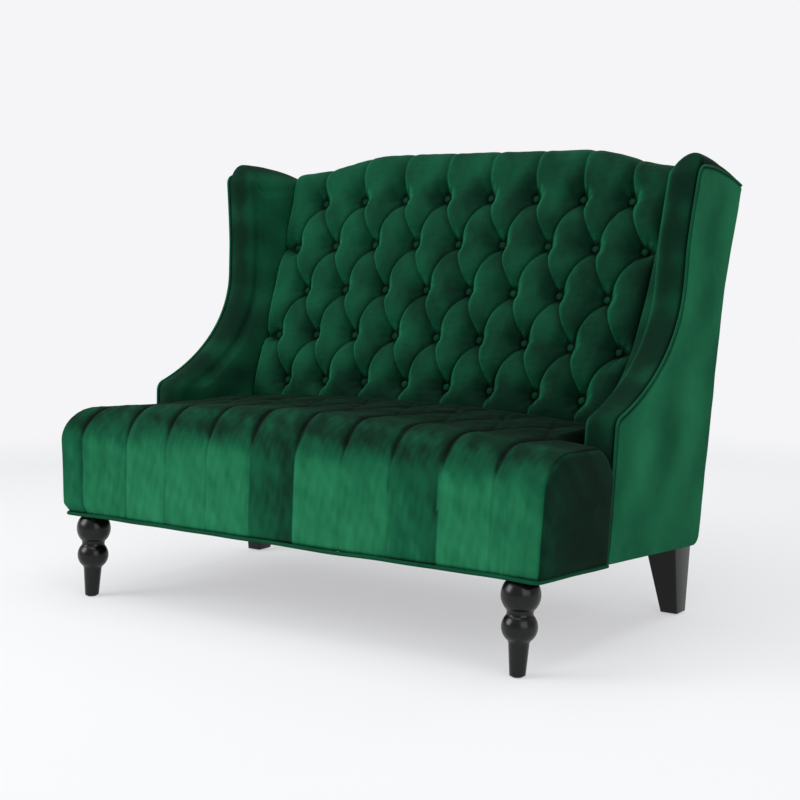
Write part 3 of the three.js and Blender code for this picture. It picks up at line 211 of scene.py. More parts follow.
def paintAndEmboss(tree, shader, look, shade, relief):
    # two tones from one pattern, and a fine relief from another
    tone = addNode(tree, "ShaderNodeValToRGB", {"Fac": shade})
    for stop, colour, position in zip(tone.color_ramp.elements, look["tones"], look.get("stops", (0, 1))):
        stop.color, stop.position = linear(colour), position
    fill(tree, shader, {"Base Color": tone, **look["shader"]})
    if "bump" in look:
        height = {"Height": relief, "Strength": look["bump"], "Distance": look["relief"]}
        fill(tree, shader, {"Normal": addNode(tree, "ShaderNodeBump", height)})


grainLooks = {
    # beech, turned and sprayed with satin black lacquer: soft highlights, a trace of grain
    "beechBlackLacquered": {
        "tones": ("#040505", "#0A0C0B"), "stretch": (60.0, 60.0, 4.0), "grain": {"Scale": 5.0, "Detail": 5.0},
        "dulling": (0.2, 0.3), "bump": 0.08, "relief": 0.0004,
        "shader": {"IOR": 1.5, "Specular IOR Level": 0.32}},
    # nylon, moulded: a fine spark-eroded skin
    "nylonMoulded": {
        "tones": ("#242424", "#353535"), "grain": {"Scale": 900.0, "Detail": 2.0},
        "bump": 0.2, "relief": 0.0002, "shader": {"Roughness": 0.5, "IOR": 1.53}},
    # poplar boards, planed: pale open grain, no finish
    "poplarPlaned": {
        "tones": ("#B08B57", "#D3B482"), "stops": (0.3, 0.7), "stretch": (1.0, 8.0, 8.0),
        "grain": {"Scale": 14.0, "Detail": 6.0, "Distortion": 0.6},
        "bump": 0.2, "relief": 0.0006, "shader": {"Roughness": 0.7}},
    # birch plywood, sawn: a darker, closer grain
    "birchPlywoodSawn": {
        "tones": ("#A47F4E", "#C9A46E"), "stops": (0.3, 0.7), "stretch": (6.0, 2.0, 6.0),
        "grain": {"Scale": 14.0, "Detail": 6.0, "Distortion": 0.6},
        "bump": 0.2, "relief": 0.0006, "shader": {"Roughness": 0.7}},
    # spring steel, drawn: dull grey with fine streaks
    "springSteelDrawn": {
        "tones": ("#5E6165", "#86898D"), "grain": {"Scale": 160.0, "Detail": 4.0},
        "dulling": (0.3, 0.5), "shader": {"Metallic": 1.0}},
    # steel, zinc-plated: brighter, a little cloudy
    "steelZincPlated": {
        "tones": ("#9EA1A4", "#C6C9CC"), "grain": {"Scale": 160.0, "Detail": 4.0},
        "dulling": (0.25, 0.42), "shader": {"Metallic": 1.0}},
    # brass, turned: warm and half polished
    "brassTurned": {
        "tones": ("#96763C", "#BF9C55"), "grain": {"Scale": 160.0, "Detail": 4.0},
        "dulling": (0.25, 0.4), "shader": {"Metallic": 1.0}},
}


def grainMaterial(name, look):
    tree, shader, place = newMaterial(name)
    if "stretch" in look:
        place = addNode(tree, "ShaderNodeMapping", {"Vector": place, "Scale": look["stretch"]}).outputs[0]
    grain = addNode(tree, "ShaderNodeTexNoise", {"Vector": place, **look["grain"]})
    if "dulling" in look:
        low, high = look["dulling"]
        dull = addNode(tree, "ShaderNodeMapRange", {"Value": grain, "To Min": low, "To Max": high})
        fill(tree, shader, {"Roughness": dull})
    paintAndEmboss(tree, shader, look, grain, grain)


clothLooks = {
    # jute, plain-woven: coarse and dull, its threads drawn 4 mm wide so that they show
    "juteWoven": {"tones": ("#7C6540", "#B99C6C"), "thread": 4.0},
    # black dust cloth, bonded: almost flat, drawn with 3 mm threads
    "dustClothBonded": {"tones": ("#121315", "#26282B"), "thread": 3.0},
}
clothRelief = {"stops": (0.3, 0.9), "bump": 0.3, "relief": 0.0004, "shader": {"Roughness": 0.9}}


def clothMaterial(name, look):
    tree, shader, place = newMaterial(name)
    size = math.tau * 1000 / (2 * look["thread"]) / 20
    warp, weft = [addNode(tree, "ShaderNodeTexWave", {"Vector": place, "Scale": size, "Distortion": 0.4},
                          bands_direction=axis).outputs["Fac"] for axis in ("X", "Y")]
    weave = addNode(tree, "ShaderNodeMath", {0: warp, 1: weft}, operation="MULTIPLY")
    fleck = addNode(tree, "ShaderNodeTexNoise", {"Vector": place, "Scale": 90.0, "Detail": 3.0})
    both = addNode(tree, "ShaderNodeMath", {0: weave, 1: 0.5, 2: fleck}, operation="MULTIPLY_ADD")
    paintAndEmboss(tree, shader, {**look, **clothRelief}, both, weave)


velvetMaterial()
for name, look in grainLooks.items():
    grainMaterial(name, look)
for name, look in clothLooks.items():
    clothMaterial(name, look)
print("materials ready")


side = {
    "armFront": 282, "tipHeight": 290, "tipRun": 17, "rise": math.radians(22), "armPull": 150,
    "sweepPull": 120, "wingFront": 543, "sweepTop": 575, "lean": 3, "wingTop": 819,
    "cornerDrop": 27, "cornerRun": 28, "arch": 10, "rearDepth": 711, "rearLean": math.tan(math.radians(3.1)),
    "bendHeight": 555, "bendRun": 60, "rearTop": 796, "rearTilt": math.tan(math.radians(12.5)),
    "footRadius": 26, "curl": 13.5, "curlFrom": 640,
}
back = {
    "tilt": math.radians(19.4), "topDepth": 685.03, "topHeight": 760.0, "rows": 5, "step": 117.893,
    "topPitch": 123.398, "footPitch": 117.409, "edge": 4.0, "half": 4.3, "puff": 44.0, "thickness": 12.0,
    "footMargin": 57.0, "crestOut": 8.0, "rollStart": 78.0, "top": 127.0, "setback": 22.0, "seat": 96.0,
    "fall": 46.0, "shoulder": (275.0, 540.0), "leftDip": 8.0, "rightLift": 2.5, "rowDroop": 12.0,
    "rowBow": 7.0, "bowReach": 500.0, "crease": 0.6, "lap": 2.0, "pit": 25.0, "pitFloor": 0.12,
    "buttonRadius": 8.6, "buttonProud": 8.5, "seatFall": 0.8, "edgeFade": 62.0, "crestFade": 70.0,
    "settle": 0.78, "sideFold": 0.42, "foldWidth": 6.5, "unlike": 0.10, "cellSeed": 3, "notch": 0.10,
    "wrinkle": 1.4, "wrinkleAt": 21.0, "flecksAt": 22.0, "pucker": 0.7, "finePucker": 0.28,
    # the cover's tones: its own, that of its hidden parts and buttons, painted crease shade, a painted
    # highlight on rolled pleat edges and painted highlight flecks
    "pile": -0.15, "hidden": -0.2, "creaseShade": 0.26, "rolledLight": 0.2, "fleckHighlight": 0.16,
}
fullDrop = (back["rows"] - 1) * back["step"]
cosTilt, sinTilt = math.cos(back["tilt"]), math.sin(back["tilt"])
padFoot, seatJoint = 112.3, 280.0


def rearAt(height):
    h = np.asarray(height, dtype=float)
    bent = np.maximum(h - side["bendHeight"], 0)
    return side["rearDepth"] + (h - bent) * side["rearLean"] + bent * side["rearTilt"]


def sideAt(height):
    return stance["halfWidth"] + np.asarray(height, dtype=float) * stance["flare"]


def buttonPlaneAt(height):
    return back["topDepth"] + (height - back["topHeight"]) * math.tan(back["tilt"])


def rowPitch(drop):
    return lerp(back["topPitch"], back["footPitch"], drop / fullDrop)


def backHalfWidthAt(height):
    return back["half"] * rowPitch((back["topHeight"] - height) / cosTilt - back["thickness"])


def crestDropAt(across):
    # the crest's fall to its ends; the left end of a real one hangs a little lower than the right
    low, high = back["shoulder"]
    uneven = np.where(across < 0, back["leftDip"], -back["rightLift"])
    return (back["fall"] * smooth(np.abs(across), low, high)
            + uneven * np.exp(-((np.abs(across) - 375) / 90) ** 2))


def crestSeatAt(across):
    # where the cover comes down behind the crest: its height and the rear face's depth
    seat = back["seat"] - back["seatFall"] * crestDropAt(across)
    rearDepth = float(rearAt(back["topHeight"])) - back["topDepth"]
    lean = math.tan(math.atan(side["rearTilt"]) - back["tilt"])
    return seat, rearDepth * cosTilt + (seat - rearDepth * sinTilt) * lean


def bezier(points, count):
    t = np.linspace(0, 1, count)[:, None]
    p = [np.array(q, dtype=float) for q in points]
    if len(p) == 2:
        return lerp(p[0], p[1], t)
    if len(p) == 3:
        return (1 - t) ** 2 * p[0] + 2 * t * (1 - t) * p[1] + t ** 2 * p[2]
    return (1 - t) ** 3 * p[0] + 3 * t * (1 - t) ** 2 * p[1] + 3 * t ** 2 * (1 - t) * p[2] + t ** 3 * p[3]


def evenly(points, spacing):
    # the same polyline, stepped at even lengths
    gaps = np.linalg.norm(np.diff(points, axis=0), axis=1)
    keep = np.concatenate([[True], gaps > 1e-9])
    points = points[keep]
    run = np.concatenate([[0], np.cumsum(np.linalg.norm(np.diff(points, axis=0), axis=1))])
    count = max(int(round(run[-1] / spacing)), 2) + 1
    at = np.linspace(0, run[-1], count)
    return np.stack([np.interp(at, run, points[:, k]) for k in range(points.shape[1])], axis=1)


def sideEdge(foot, spacing):
    # up the front of the arm, along its sweep to the wing and back over the wing's top
    f, h, run = side["armFront"], side["tipHeight"], side["tipRun"]
    tipEnd = (f + run, h + run * math.tan(side["rise"]))
    leave = (tipEnd[0] + side["armPull"] * math.cos(side["rise"]),
             tipEnd[1] + side["armPull"] * math.sin(side["rise"]))
    front = side["wingFront"]
    sweepEnd = (front, side["sweepTop"])
    cornerStart = (front + side["lean"], side["wingTop"] - side["cornerDrop"])
    corner = (front + side["lean"], side["wingTop"])
    cornerEnd = (corner[0] + side["cornerRun"], side["wingTop"])
    rearTop = (float(rearAt(side["rearTop"])), side["rearTop"])
    arch = ((cornerEnd[0] + rearTop[0]) / 2, (cornerEnd[1] + rearTop[1]) / 2 + 2 * side["arch"])
    parts = [
        bezier([(f, foot), (f, h - run)], 40),
        bezier([(f, h - run), (f, h), tipEnd], 24),
        bezier([tipEnd, leave, (front, side["sweepTop"] - side["sweepPull"]), sweepEnd], 80),
        bezier([sweepEnd, cornerStart], 40),
        bezier([cornerStart, corner, cornerEnd], 30),
        bezier([cornerEnd, arch, rearTop], 50),
    ]
    return evenly(np.concatenate(parts), spacing)


def inset(points, distance):
    # points moved off their polyline, to its inside for a positive distance
    along = np.gradient(points, axis=0)
    along /= np.linalg.norm(along, axis=1)[:, None]
    d = np.broadcast_to(np.asarray(distance, dtype=float), points.shape[:1])
    return np.stack([points[:, 0] + along[:, 1] * d, points[:, 1] - along[:, 0] * d], axis=1)


def fromBack(across, depth, rise):
    # the tilted frame of the button plane to the upholstery's frame
    y = back["topDepth"] + depth * cosTilt + rise * sinTilt
    z = back["topHeight"] - depth * sinTilt + rise * cosTilt
    return np.stack([across, y, z], axis=-1)


def flank(share, width=1.0):
    # how a cover rises from a pleat: steeply at first, then round
    s = np.clip(share / width, 0, 1)
    return (1 - (1 - s) ** 2) ** 0.66


def tuftField(column, row, rows, edge, crease, beyond, fade, settle):
    c = np.clip(column, -edge, edge)
    r = np.clip(row, 0, rows)
    u, v = (c - 0.5) + r / 2, (c - 0.5) - r / 2
    su, sv = np.abs(np.sin(math.pi * u)), np.abs(np.sin(math.pi * v))
    lowU, lowV = crease * sv ** 0.75, crease * su ** 0.75
    hu = lowU + (1 - lowU) * flank(su)
    hv = lowV + (1 - lowV) * flank(sv)
    tuft = ((np.maximum(hu, 1e-4)) ** -5 + (np.maximum(hv, 1e-4)) ** -5) ** (-1 / 5) * 2 ** (1 / 5)
    out = np.sin(math.pi / 2 * np.clip(beyond / fade, 0, 1))
    low = lerp(crease * su ** 0.75, settle, out)
    straight = low + (1 - low) * flank(su, lerp(1.0, 0.6, out))
    mix = smooth(beyond, 0, fade * 0.12)
    return lerp(np.minimum(tuft, 1.0), straight, mix), u, v, su, sv


def pitAt(column, drop):
    # the round hollow that each button draws into the cover: 0 at the button, 1 away from it
    nearest = np.full(np.shape(column), 1e6)
    for row in range(back["rows"]):
        reach = back["edge"] if row % 2 else back["edge"] - 0.5
        place = np.clip(np.round(column - reach) + reach, -reach, reach)
        away = np.hypot((column - place) * rowPitch(row * back["step"]), drop - row * back["step"])
        nearest = np.minimum(nearest, away)
    return 1 - np.exp(-(nearest / back["pit"]) ** 1.6)


def slopes(points):
    # the outward direction at each point of a grid
    along, over = np.gradient(points, axis=0), np.gradient(points, axis=1)
    normal = np.cross(along, over)
    return normal / np.maximum(np.linalg.norm(normal, axis=-1, keepdims=True), 1e-12)


def cellVariation(u, v):
    # a number from -0.5 to 0.5 for each cell of the tufts' lattice, the same every time
    i, j = np.floor(u).astype(int), np.floor(v).astype(int)
    mixed = np.sin(i * 127.1 + j * 311.7 + back["cellSeed"] * 74.7) * 43758.5453
    return mixed - np.floor(mixed) - 0.5


print("outlines ready")


def backSurface(column, profile):
    # profile 0..1 up the front from the seat, 1..2 round the crest, 2..3 down behind it
    c, p = np.broadcast_arrays(column, profile)
    front = np.clip(p, 0, 1)
    crestColumn = c * rowPitch(back["fall"] - back["rollStart"])
    rollStart = back["rollStart"] - crestDropAt(crestColumn)
    foot = fullDrop + back["footMargin"]
    drop = foot - front * (foot + rollStart)
    inDrop = np.clip(drop, 0, fullDrop)
    inColumn = np.clip(c, -back["edge"], back["edge"])
    beyond = np.abs(drop - inDrop) + np.abs(c - inColumn) * back["topPitch"]
    overCrest = np.clip(p - 1, 0, 2)
    h, u, v, su, sv = tuftField(
        c, drop / back["step"], back["rows"] - 1, back["edge"], back["crease"],
        beyond + overCrest * back["crestFade"], back["edgeFade"], back["settle"])
    for row in range(1, back["rows"], 2):
        fold = np.exp(-((drop - row * back["step"] - 3) / back["foldWidth"]) ** 2)
        h = h * (1 - back["sideFold"] * fold * smooth(np.abs(c), back["edge"] - 0.04, back["edge"] + 0.05))
    h = h * (1 + back["unlike"] * cellVariation(u, v) * su * sv)
    h = np.maximum(h * (back["pitFloor"] + (1 - back["pitFloor"]) * pitAt(c, drop)), back["pitFloor"])
    edgeShare = 0.45 + 0.55 * np.sqrt(np.clip(1 - ((np.abs(c) - back["edge"]) / 0.3).clip(0, 1) ** 2, 0, 1))
    footShare = 1 - 0.5 * np.clip((drop - fullDrop) / back["footMargin"], 0, 1) ** 2.3
    across = c * rowPitch(drop)
    # the crest's ends press into the wings
    pressed = back["crestOut"] * (1 + 1.4 * smooth(p, 1.0, 1.6))
    across = across + np.sign(c) * pressed * smooth(np.abs(c), 3.8, 4.3) * smooth(drop, 10, -60)
    bow = (across / back["bowReach"]) ** 2
    held = np.clip(drop / back["step"] + 1, 0, 1)
    proud = back["puff"] * h * edgeShare * footShare
    depth = back["rowBow"] * bow - proud
    rise = -drop - back["rowDroop"] * bow * held
    # the upper diamond's lower edges lap over the pleats
    inside = smooth(beyond, 26.0, 0.0)
    for line, other, sign in ((u, sv, 1), (-v, su, -1)):
        gap = np.ceil(line) - line
        lip = (gap / 0.045) * np.exp(1 - gap / 0.045)
        amount = back["lap"] * lip * other ** 0.9 * inside
        across = across + sign * 0.888 * amount
        rise = rise - 0.462 * amount
    # round the crest, which dips a little at each pleat
    notch = back["notch"] * (1 - np.clip(h / 0.97, 0, 1))
    lift = (back["top"] - back["rollStart"]) * (1 - notch * 2.2)
    turn = np.clip(p - 1, 0, 1) * math.pi / 2
    over = p > 1
    depth = np.where(over, back["setback"] + (depth - back["setback"]) * np.cos(turn), depth)
    rise = np.where(over, rollStart + lift * np.sin(turn), rise)
    seat, rear = crestSeatAt(crestColumn)
    fall = np.clip(p - 2, 0, 1) * math.pi / 2
    behind = p > 2
    depth = np.where(behind, back["setback"] + (rear - back["setback"]) * np.sin(fall), depth)
    rise = np.where(behind, seat + (rollStart + lift - seat) * np.cos(fall), rise)
    return across, depth, rise, h, drop


def buttonPlaces():
    for row in range(back["rows"]):
        reach = back["edge"] if row % 2 else back["edge"] - 0.5
        count = int(2 * reach) + 1
        for k in range(count):
            yield k - reach, row


def makeBack():
    fine = 1.0
    columns = np.linspace(-back["half"], back["half"], int(430 / fine))
    steps = np.concatenate([
        np.linspace(0, 1, int(240 / fine), endpoint=False),
        1 + np.linspace(0, 1, int(34 / fine), endpoint=False),
        2 + np.linspace(0, 1, int(22 / fine)),
    ])
    c, p = np.meshgrid(columns, steps, indexing="ij")
    across, depth, rise, h, drop = backSurface(c, p)
    # little wrinkles that run into each button, and a patch above it for painted highlight flecks
    wrinkle = np.zeros_like(depth)
    paintedFlecks = np.zeros_like(depth)
    for index, (column, row) in enumerate(buttonPlaces()):
        x0 = column * rowPitch(row * back["step"])
        z0 = -row * back["step"] - back["rowDroop"] * (x0 / back["bowReach"]) ** 2
        dx, dz = across - x0, rise - z0
        near = np.hypot(dx, dz)
        turn = np.arctan2(dz, dx)
        folds = np.cos(7 * turn + index * 1.7)
        wrinkle += back["wrinkle"] * folds * np.exp(-((near - back["wrinkleAt"]) / 10) ** 2)
        paintedFlecks += np.exp(-((dx + 3) / 9) ** 2 - ((dz - back["flecksAt"]) / 10) ** 2) * (0.5 + 0.5 * (row > 0))
    surface = ripple(across, rise, 46, 5) * back["pucker"] + ripple(across, rise, 19, 6) * back["finePucker"]
    onFront = p <= 1
    depth = depth - np.where(onFront, wrinkle + surface * np.clip(h, 0, 1), surface)
    # closed behind, hidden against the webbing
    foot = fullDrop + back["footMargin"]
    front = fromBack(across, depth, rise)
    seatX = columns * rowPitch(back["fall"] - back["rollStart"])
    seat = crestSeatAt(seatX)[0]
    down = []
    for share in np.linspace(0, 1, 9):
        z = lerp(seat, -foot, share)
        x = lerp(seatX, columns * rowPitch(foot), share)
        down.append(fromBack(x, back["thickness"], z))
    ring = np.concatenate([front, np.stack(down, axis=1)], axis=1)
    piece = meshPiece("backCushion", toRoom(ring), "greenVelvetBrushed")
    face = slopes(front)
    face = face * -np.sign(face[..., 1].mean())
    # painted light: flanks that face left and down, towards the key lamp, are lighter; painted shade in the
    # creases
    light = (back["pile"] - 0.08 * face[..., 0] - 0.05 * face[..., 2]
             - back["creaseShade"] * smooth(h, 0.42, 0.1))
    # random tone, lighter over the crest, and painted shade darker towards the right, where the lamps fall
    # stronger
    light += 0.03 * ripple(across, rise, 130, 9) + 0.04 * smooth(rise, 10, 110)
    light -= 0.05 * across / 500
    # a painted highlight along the edge where a pleat rolls over to the left, and painted highlight flecks
    # above the buttons
    light += back["rolledLight"] * smooth(-face[..., 0], 0.3, 0.75) * smooth(h, 0.3, 0.55)
    light += back["fleckHighlight"] * paintedFlecks * (0.55 + 0.45 * ripple(across, rise, 7, 77))
    # painted shade at the foot of the back, where it meets the seat
    light -= 0.09 * smooth(drop, fullDrop - 40, fullDrop + 40)
    napAndPaintedLight = np.full(ring.shape[:2], back["hidden"])
    napAndPaintedLight[:, :len(steps)] = light
    finishPiece(piece, "back_pad", napAndPaintedLight)
    print("back cushion:", len(piece.data.polygons), "faces")


makeBack()


def nodesTree(name, inputs):
    # an empty Geometry Nodes tree with named inputs of its own
    tree = bpy.data.node_groups.new(name, "GeometryNodeTree")
    tree.interface.new_socket("Geometry", in_out="INPUT", socket_type="NodeSocketGeometry")
    for label, kind, value in inputs:
        socket = tree.interface.new_socket(label, in_out="INPUT", socket_type=kind)
        if value is not None:
            socket.default_value = value
    tree.interface.new_socket("Geometry", in_out="OUTPUT", socket_type="NodeSocketGeometry")
    return tree, addNode(tree, "NodeGroupInput"), addNode(tree, "NodeGroupOutput")


def finishTree(tree, output, geometry, materialName):
    smoothed = addNode(tree, "GeometryNodeSetShadeSmooth", {0: geometry})
    real = addNode(tree, "GeometryNodeRealizeInstances", {0: smoothed})
    paint = addNode(tree, "GeometryNodeSetMaterial",
                    {"Geometry": real, "Material": bpy.data.materials[materialName]})
    fill(tree, output, {0: paint})
    return tree


def grown(name, source, tree, values):
    # what a tree makes of a source object, as a plain mesh in the room's frame
    modifier = source.modifiers.new("grow", "NODES")
    modifier.node_group = tree
    for item in tree.interface.items_tree:
        if item.item_type == "SOCKET" and item.in_out == "INPUT" and item.name in values:
            modifier[item.identifier] = values[item.name]
    depsgraph = bpy.context.evaluated_depsgraph_get()
    mesh = bpy.data.meshes.new_from_object(source.evaluated_get(depsgraph))
    mesh.name = name
    source.modifiers.remove(modifier)
    bpy.data.objects.remove(source)
    piece = bpy.data.objects.new(name, mesh)
    bpy.context.collection.objects.link(piece)
    return piece


def buttonTree():
    # one covered button on each point, all turned to face out of the button plane, each with a small random
    # spin
    tree, given, output = nodesTree("coveredButtons", [
        ("Radius", "NodeSocketFloat", 0.0095), ("Crown", "NodeSocketFloat", 0.0048),
        ("Spin", "NodeSocketFloat", 0.6), ("Seed", "NodeSocketInt", 7)])
    dome = addNode(tree, "GeometryNodeMeshUVSphere", {"Segments": 24, "Rings": 14, "Radius": 1.0})
    size = addNode(tree, "ShaderNodeCombineXYZ", {
        "X": given.outputs["Radius"], "Y": given.outputs["Radius"], "Z": given.outputs["Crown"]})
    turn = addNode(tree, "FunctionNodeRandomValue", {"Seed": given.outputs["Seed"]}, data_type="FLOAT")
    amount = addNode(tree, "ShaderNodeMath", {0: turn.outputs[1], 1: given.outputs["Spin"]},
                     operation="MULTIPLY")
    facing = addNode(tree, "FunctionNodeAlignRotationToVector", {"Vector": (0.0, -cosTilt, sinTilt)},
                     axis="Z")
    spin = addNode(tree, "FunctionNodeAxisAngleToRotation", {"Axis": (0.0, 0.0, 1.0), "Angle": amount})
    both = addNode(tree, "FunctionNodeRotateRotation", {"Rotation": facing, "Rotate By": spin},
                   rotation_space="LOCAL")
    place = addNode(tree, "GeometryNodeInstanceOnPoints", {
        "Points": given.outputs["Geometry"], "Instance": dome, "Rotation": both, "Scale": size})
    return finishTree(tree, output, place, "greenVelvetBrushed")


def makeButtons():
    spots = []
    for column, row in buttonPlaces():
        drop = row * back["step"]
        across = column * rowPitch(drop)
        bow = (across / back["bowReach"]) ** 2
        spots.append(fromBack(across, back["rowBow"] * bow - back["buttonProud"],
                              -drop - back["rowDroop"] * bow))
    source = newObject("buttonSpots", toRoom(np.array(spots)))
    piece = grown("backButtons", source, buttonTree(), {"Radius": back["buttonRadius"] / 1000})
    # the buttons take the dark hidden tone as painted shade of their pits
    finishPiece(piece, napAndPaintedLight=back["hidden"])
    print("buttons:", len(spots))


makeButtons()


seat = {
    "apron": 14.0, "foot": 0.6, "rollStart": 165.0, "rollDepth": 88.0, "edge": 224.0, "crown": 36.0,
    "puff": 15.0, "topShare": 0.6, "rear": 504.03, "rearFoot": 470.03, "tuckLine": 455.03, "tuckFade": 60.0,
    "corner": 9.0, "drawIn": 3.0, "seams": 10, "pitch": 118.7, "shift": -26.0, "tuftLine": 185.0,
    "tuftStep": 135.0, "tuftSteps": 2, "earStart": 185.0, "earDrop": 62.0, "earRear": 278.7,
    "floor": 128.6, "railSide": 590.7, "reach": 130.0, "forward": 19.0, "outward": 15.0,
    # channels of a darker pile, then painted light and shade for the face, the top and the sides
    "darkChannels": {0: -0.29, 3: -0.20, -5: -0.13, -4: -0.06, 5: -0.06, 2: -0.03},
    "faceLight": 0.16, "topLight": -0.21, "sideLight": -0.24, "cornerSeam": 1.6,
    # each flat side's low dome: the middle, and its rings' shares of the rim with their swelling
    "sideMiddle": (0.0, 150.0, 110.0),
    "sideDome": ((0.985, 0.6), (0.93, 1.8), (0.8, 3.2), (0.6, 4.2), (0.35, 4.8), (0.1, 5.0)),
    "cornerSteps": (0.0, 0.12, 0.24, 0.36, 0.44, 0.5, 0.56, 0.64, 0.76, 0.88, 1.0),
}
padding = {
    "arm": 78.0, "bulge": 9.0, "bulgeFade": 30.0, "topBulge": 28.0, "rearBulge": 16.0,
    "outerDrop": 3.0, "innerDrop": 12.0, "wingInnerDrop": 30.0, "rearInnerDrop": 14.0, "bandStart": 198.0,
    "inset": 14.0, "outer": 6.3, "board": 22.7, "joint": 16.0, "setback": 15.0, "clear": 0.9,
    # the band's tones: painted shade by the welt, a painted highlight on the right band's inner edge and
    # painted light up the wing
    "archPower": 0.55, "tipGather": 1.3, "cornerFold": 3.0, "hidden": -0.2, "weltShade": 0.28,
    "edgeLight": 0.17, "jointShares": (0.5, 0.72), "jointHeights": (420.0, 640.0), "jointTop": 12.0,
    "wingLight": 0.09, "wingLightFrom": (420.0, 740.0),
}


def innerFaceAt(front, depth, height):
    level = np.maximum(height, seatJoint)
    joint = buttonPlaneAt(level) - padding["joint"]
    share = np.clip((depth - front) / (joint - front), 0, 1)
    # a soft bow through the same thirds as the frame's padding
    bowed = share + (2 / 3 - 0.5) * np.sin(math.pi * share)
    deep = sideAt(level) - backHalfWidthAt(level) - padding["clear"]
    return lerp(padding["arm"], deep, bowed)


def seatTopAt(across, depth):
    half = stance["halfWidth"]
    crown = seat["crown"] * (1 - (across / half) ** 2)
    level = (depth - seat["rollDepth"]) * math.tan(stance["pitch"])
    tuck = np.maximum(depth - seat["tuckLine"], 0) * 0.5
    ear = smooth(np.abs(across), half - padding["arm"] - 30, half - padding["arm"])
    roll = np.clip((depth - seat["earStart"]) / (seat["earRear"] - seat["earStart"]), 0, 1)
    return seat["edge"] + crown + level - tuck - ear * seat["earDrop"] * roll ** 2


def seatPuffAt(across, depth, face):
    half = seat["seams"] / 2
    column = np.clip((across - seat["shift"]) / seat["pitch"], -half, half)
    row = (depth - seat["tuftLine"]) / seat["tuftStep"]
    beyond = np.maximum(seat["tuftLine"] - depth, 0)
    h, _, _, su, _ = tuftField(column, row, seat["tuftSteps"], half, 0.5, beyond, 80.0, 0.42)
    # on the face the channels are almost flat, with a narrow sewn line between them
    line = 0.7 + 0.3 * flank(su, 0.16) ** 0.8
    h = lerp(h, line, face)
    fade = 1 - smooth(depth, seat["tuckLine"] - seat["tuckFade"], seat["tuckLine"])
    return seat["puff"] * h * fade * lerp(seat["topShare"], 1.0, smooth(depth, 200, 60)), h


def swollen(points):
    # the front corners are filled out forwards and outwards, less along the welt
    x, y, z = points[..., 0], points[..., 1], points[..., 2]
    share = smooth(np.abs(x), stance["halfWidth"] - seat["reach"], stance["halfWidth"])
    grown = lerp(lerp(0.3, 0.8, smooth(z, seat["foot"], 24)), 1.0, np.clip(z / seat["rollStart"], 0, 1) ** 2)
    swell = share * grown
    out = points.copy()
    out[..., 0] += np.sign(x) * seat["outward"] * swell * (1 - np.clip(y / seat["earRear"], 0, 1))
    out[..., 1] -= seat["forward"] * swell * (1 - np.clip(y / seat["rollDepth"], 0, 1))
    return out


def seatRing(across, cornerInset, outside, ear):
    profile, shares = [], []

    def add(depth, height, h):
        profile.append((depth, height))
        shares.append(h)

    add(2 * seat["apron"] if outside else seat["apron"], seat["foot"], 0)
    for t in np.linspace(0, 1, 46):
        height = lerp(seat["foot"], seat["rollStart"], t)
        puff, h = seatPuffAt(across, 0.0, 1.0)
        draw = seat["drawIn"] * (1 - t / 0.3) ** 2 if t < 0.3 else 0.0
        add(seat["puff"] - float(puff) + cornerInset + draw, height, float(h))
    rise = float(seatTopAt(across, seat["rollDepth"])) - seat["rollStart"]
    run = seat["rollDepth"] - seat["puff"]
    for share in np.linspace(0, 1, 34)[1:]:
        angle = math.pi / 2 * share
        face = float(smooth(share, 0.45, 0.0))
        puff, h = seatPuffAt(across, seat["rollDepth"] * share, face)
        proud = float(puff) - cornerInset
        add(seat["rollDepth"] - (run + proud) * math.cos(angle),
            seat["rollStart"] + (rise + proud) * math.sin(angle), float(h))
    rear = seat["earRear"] if ear else seat["rear"]
    # an ear has the same places as its neighbours, as far back as it goes
    depths = np.minimum(np.linspace(seat["rollDepth"], seat["rear"], 150)[1:], rear)
    puff, h = seatPuffAt(np.full_like(depths, across), depths, 0.0)
    tops = seatTopAt(np.full_like(depths, across), depths) + puff - cornerInset
    for depth, top, share in zip(depths, tops, h):
        add(depth, top, share)
    low = seat["foot"] if outside else seat["floor"]
    last = profile[-1]
    rearLow = seat["earRear"] if ear else seat["rearFoot"]
    for t in (0.33, 0.66, 1.0):
        add(lerp(last[0], rearLow, t), lerp(last[1], low, t), 0)
    add(3 * seat["apron"] if outside else seat["apron"], low, 0)
    profile = np.array(profile)
    x = across * (1 + profile[:, 1] * stance["flare"] / stance["halfWidth"])
    return np.stack([x, profile[:, 0], profile[:, 1]], axis=1), np.array(shares)


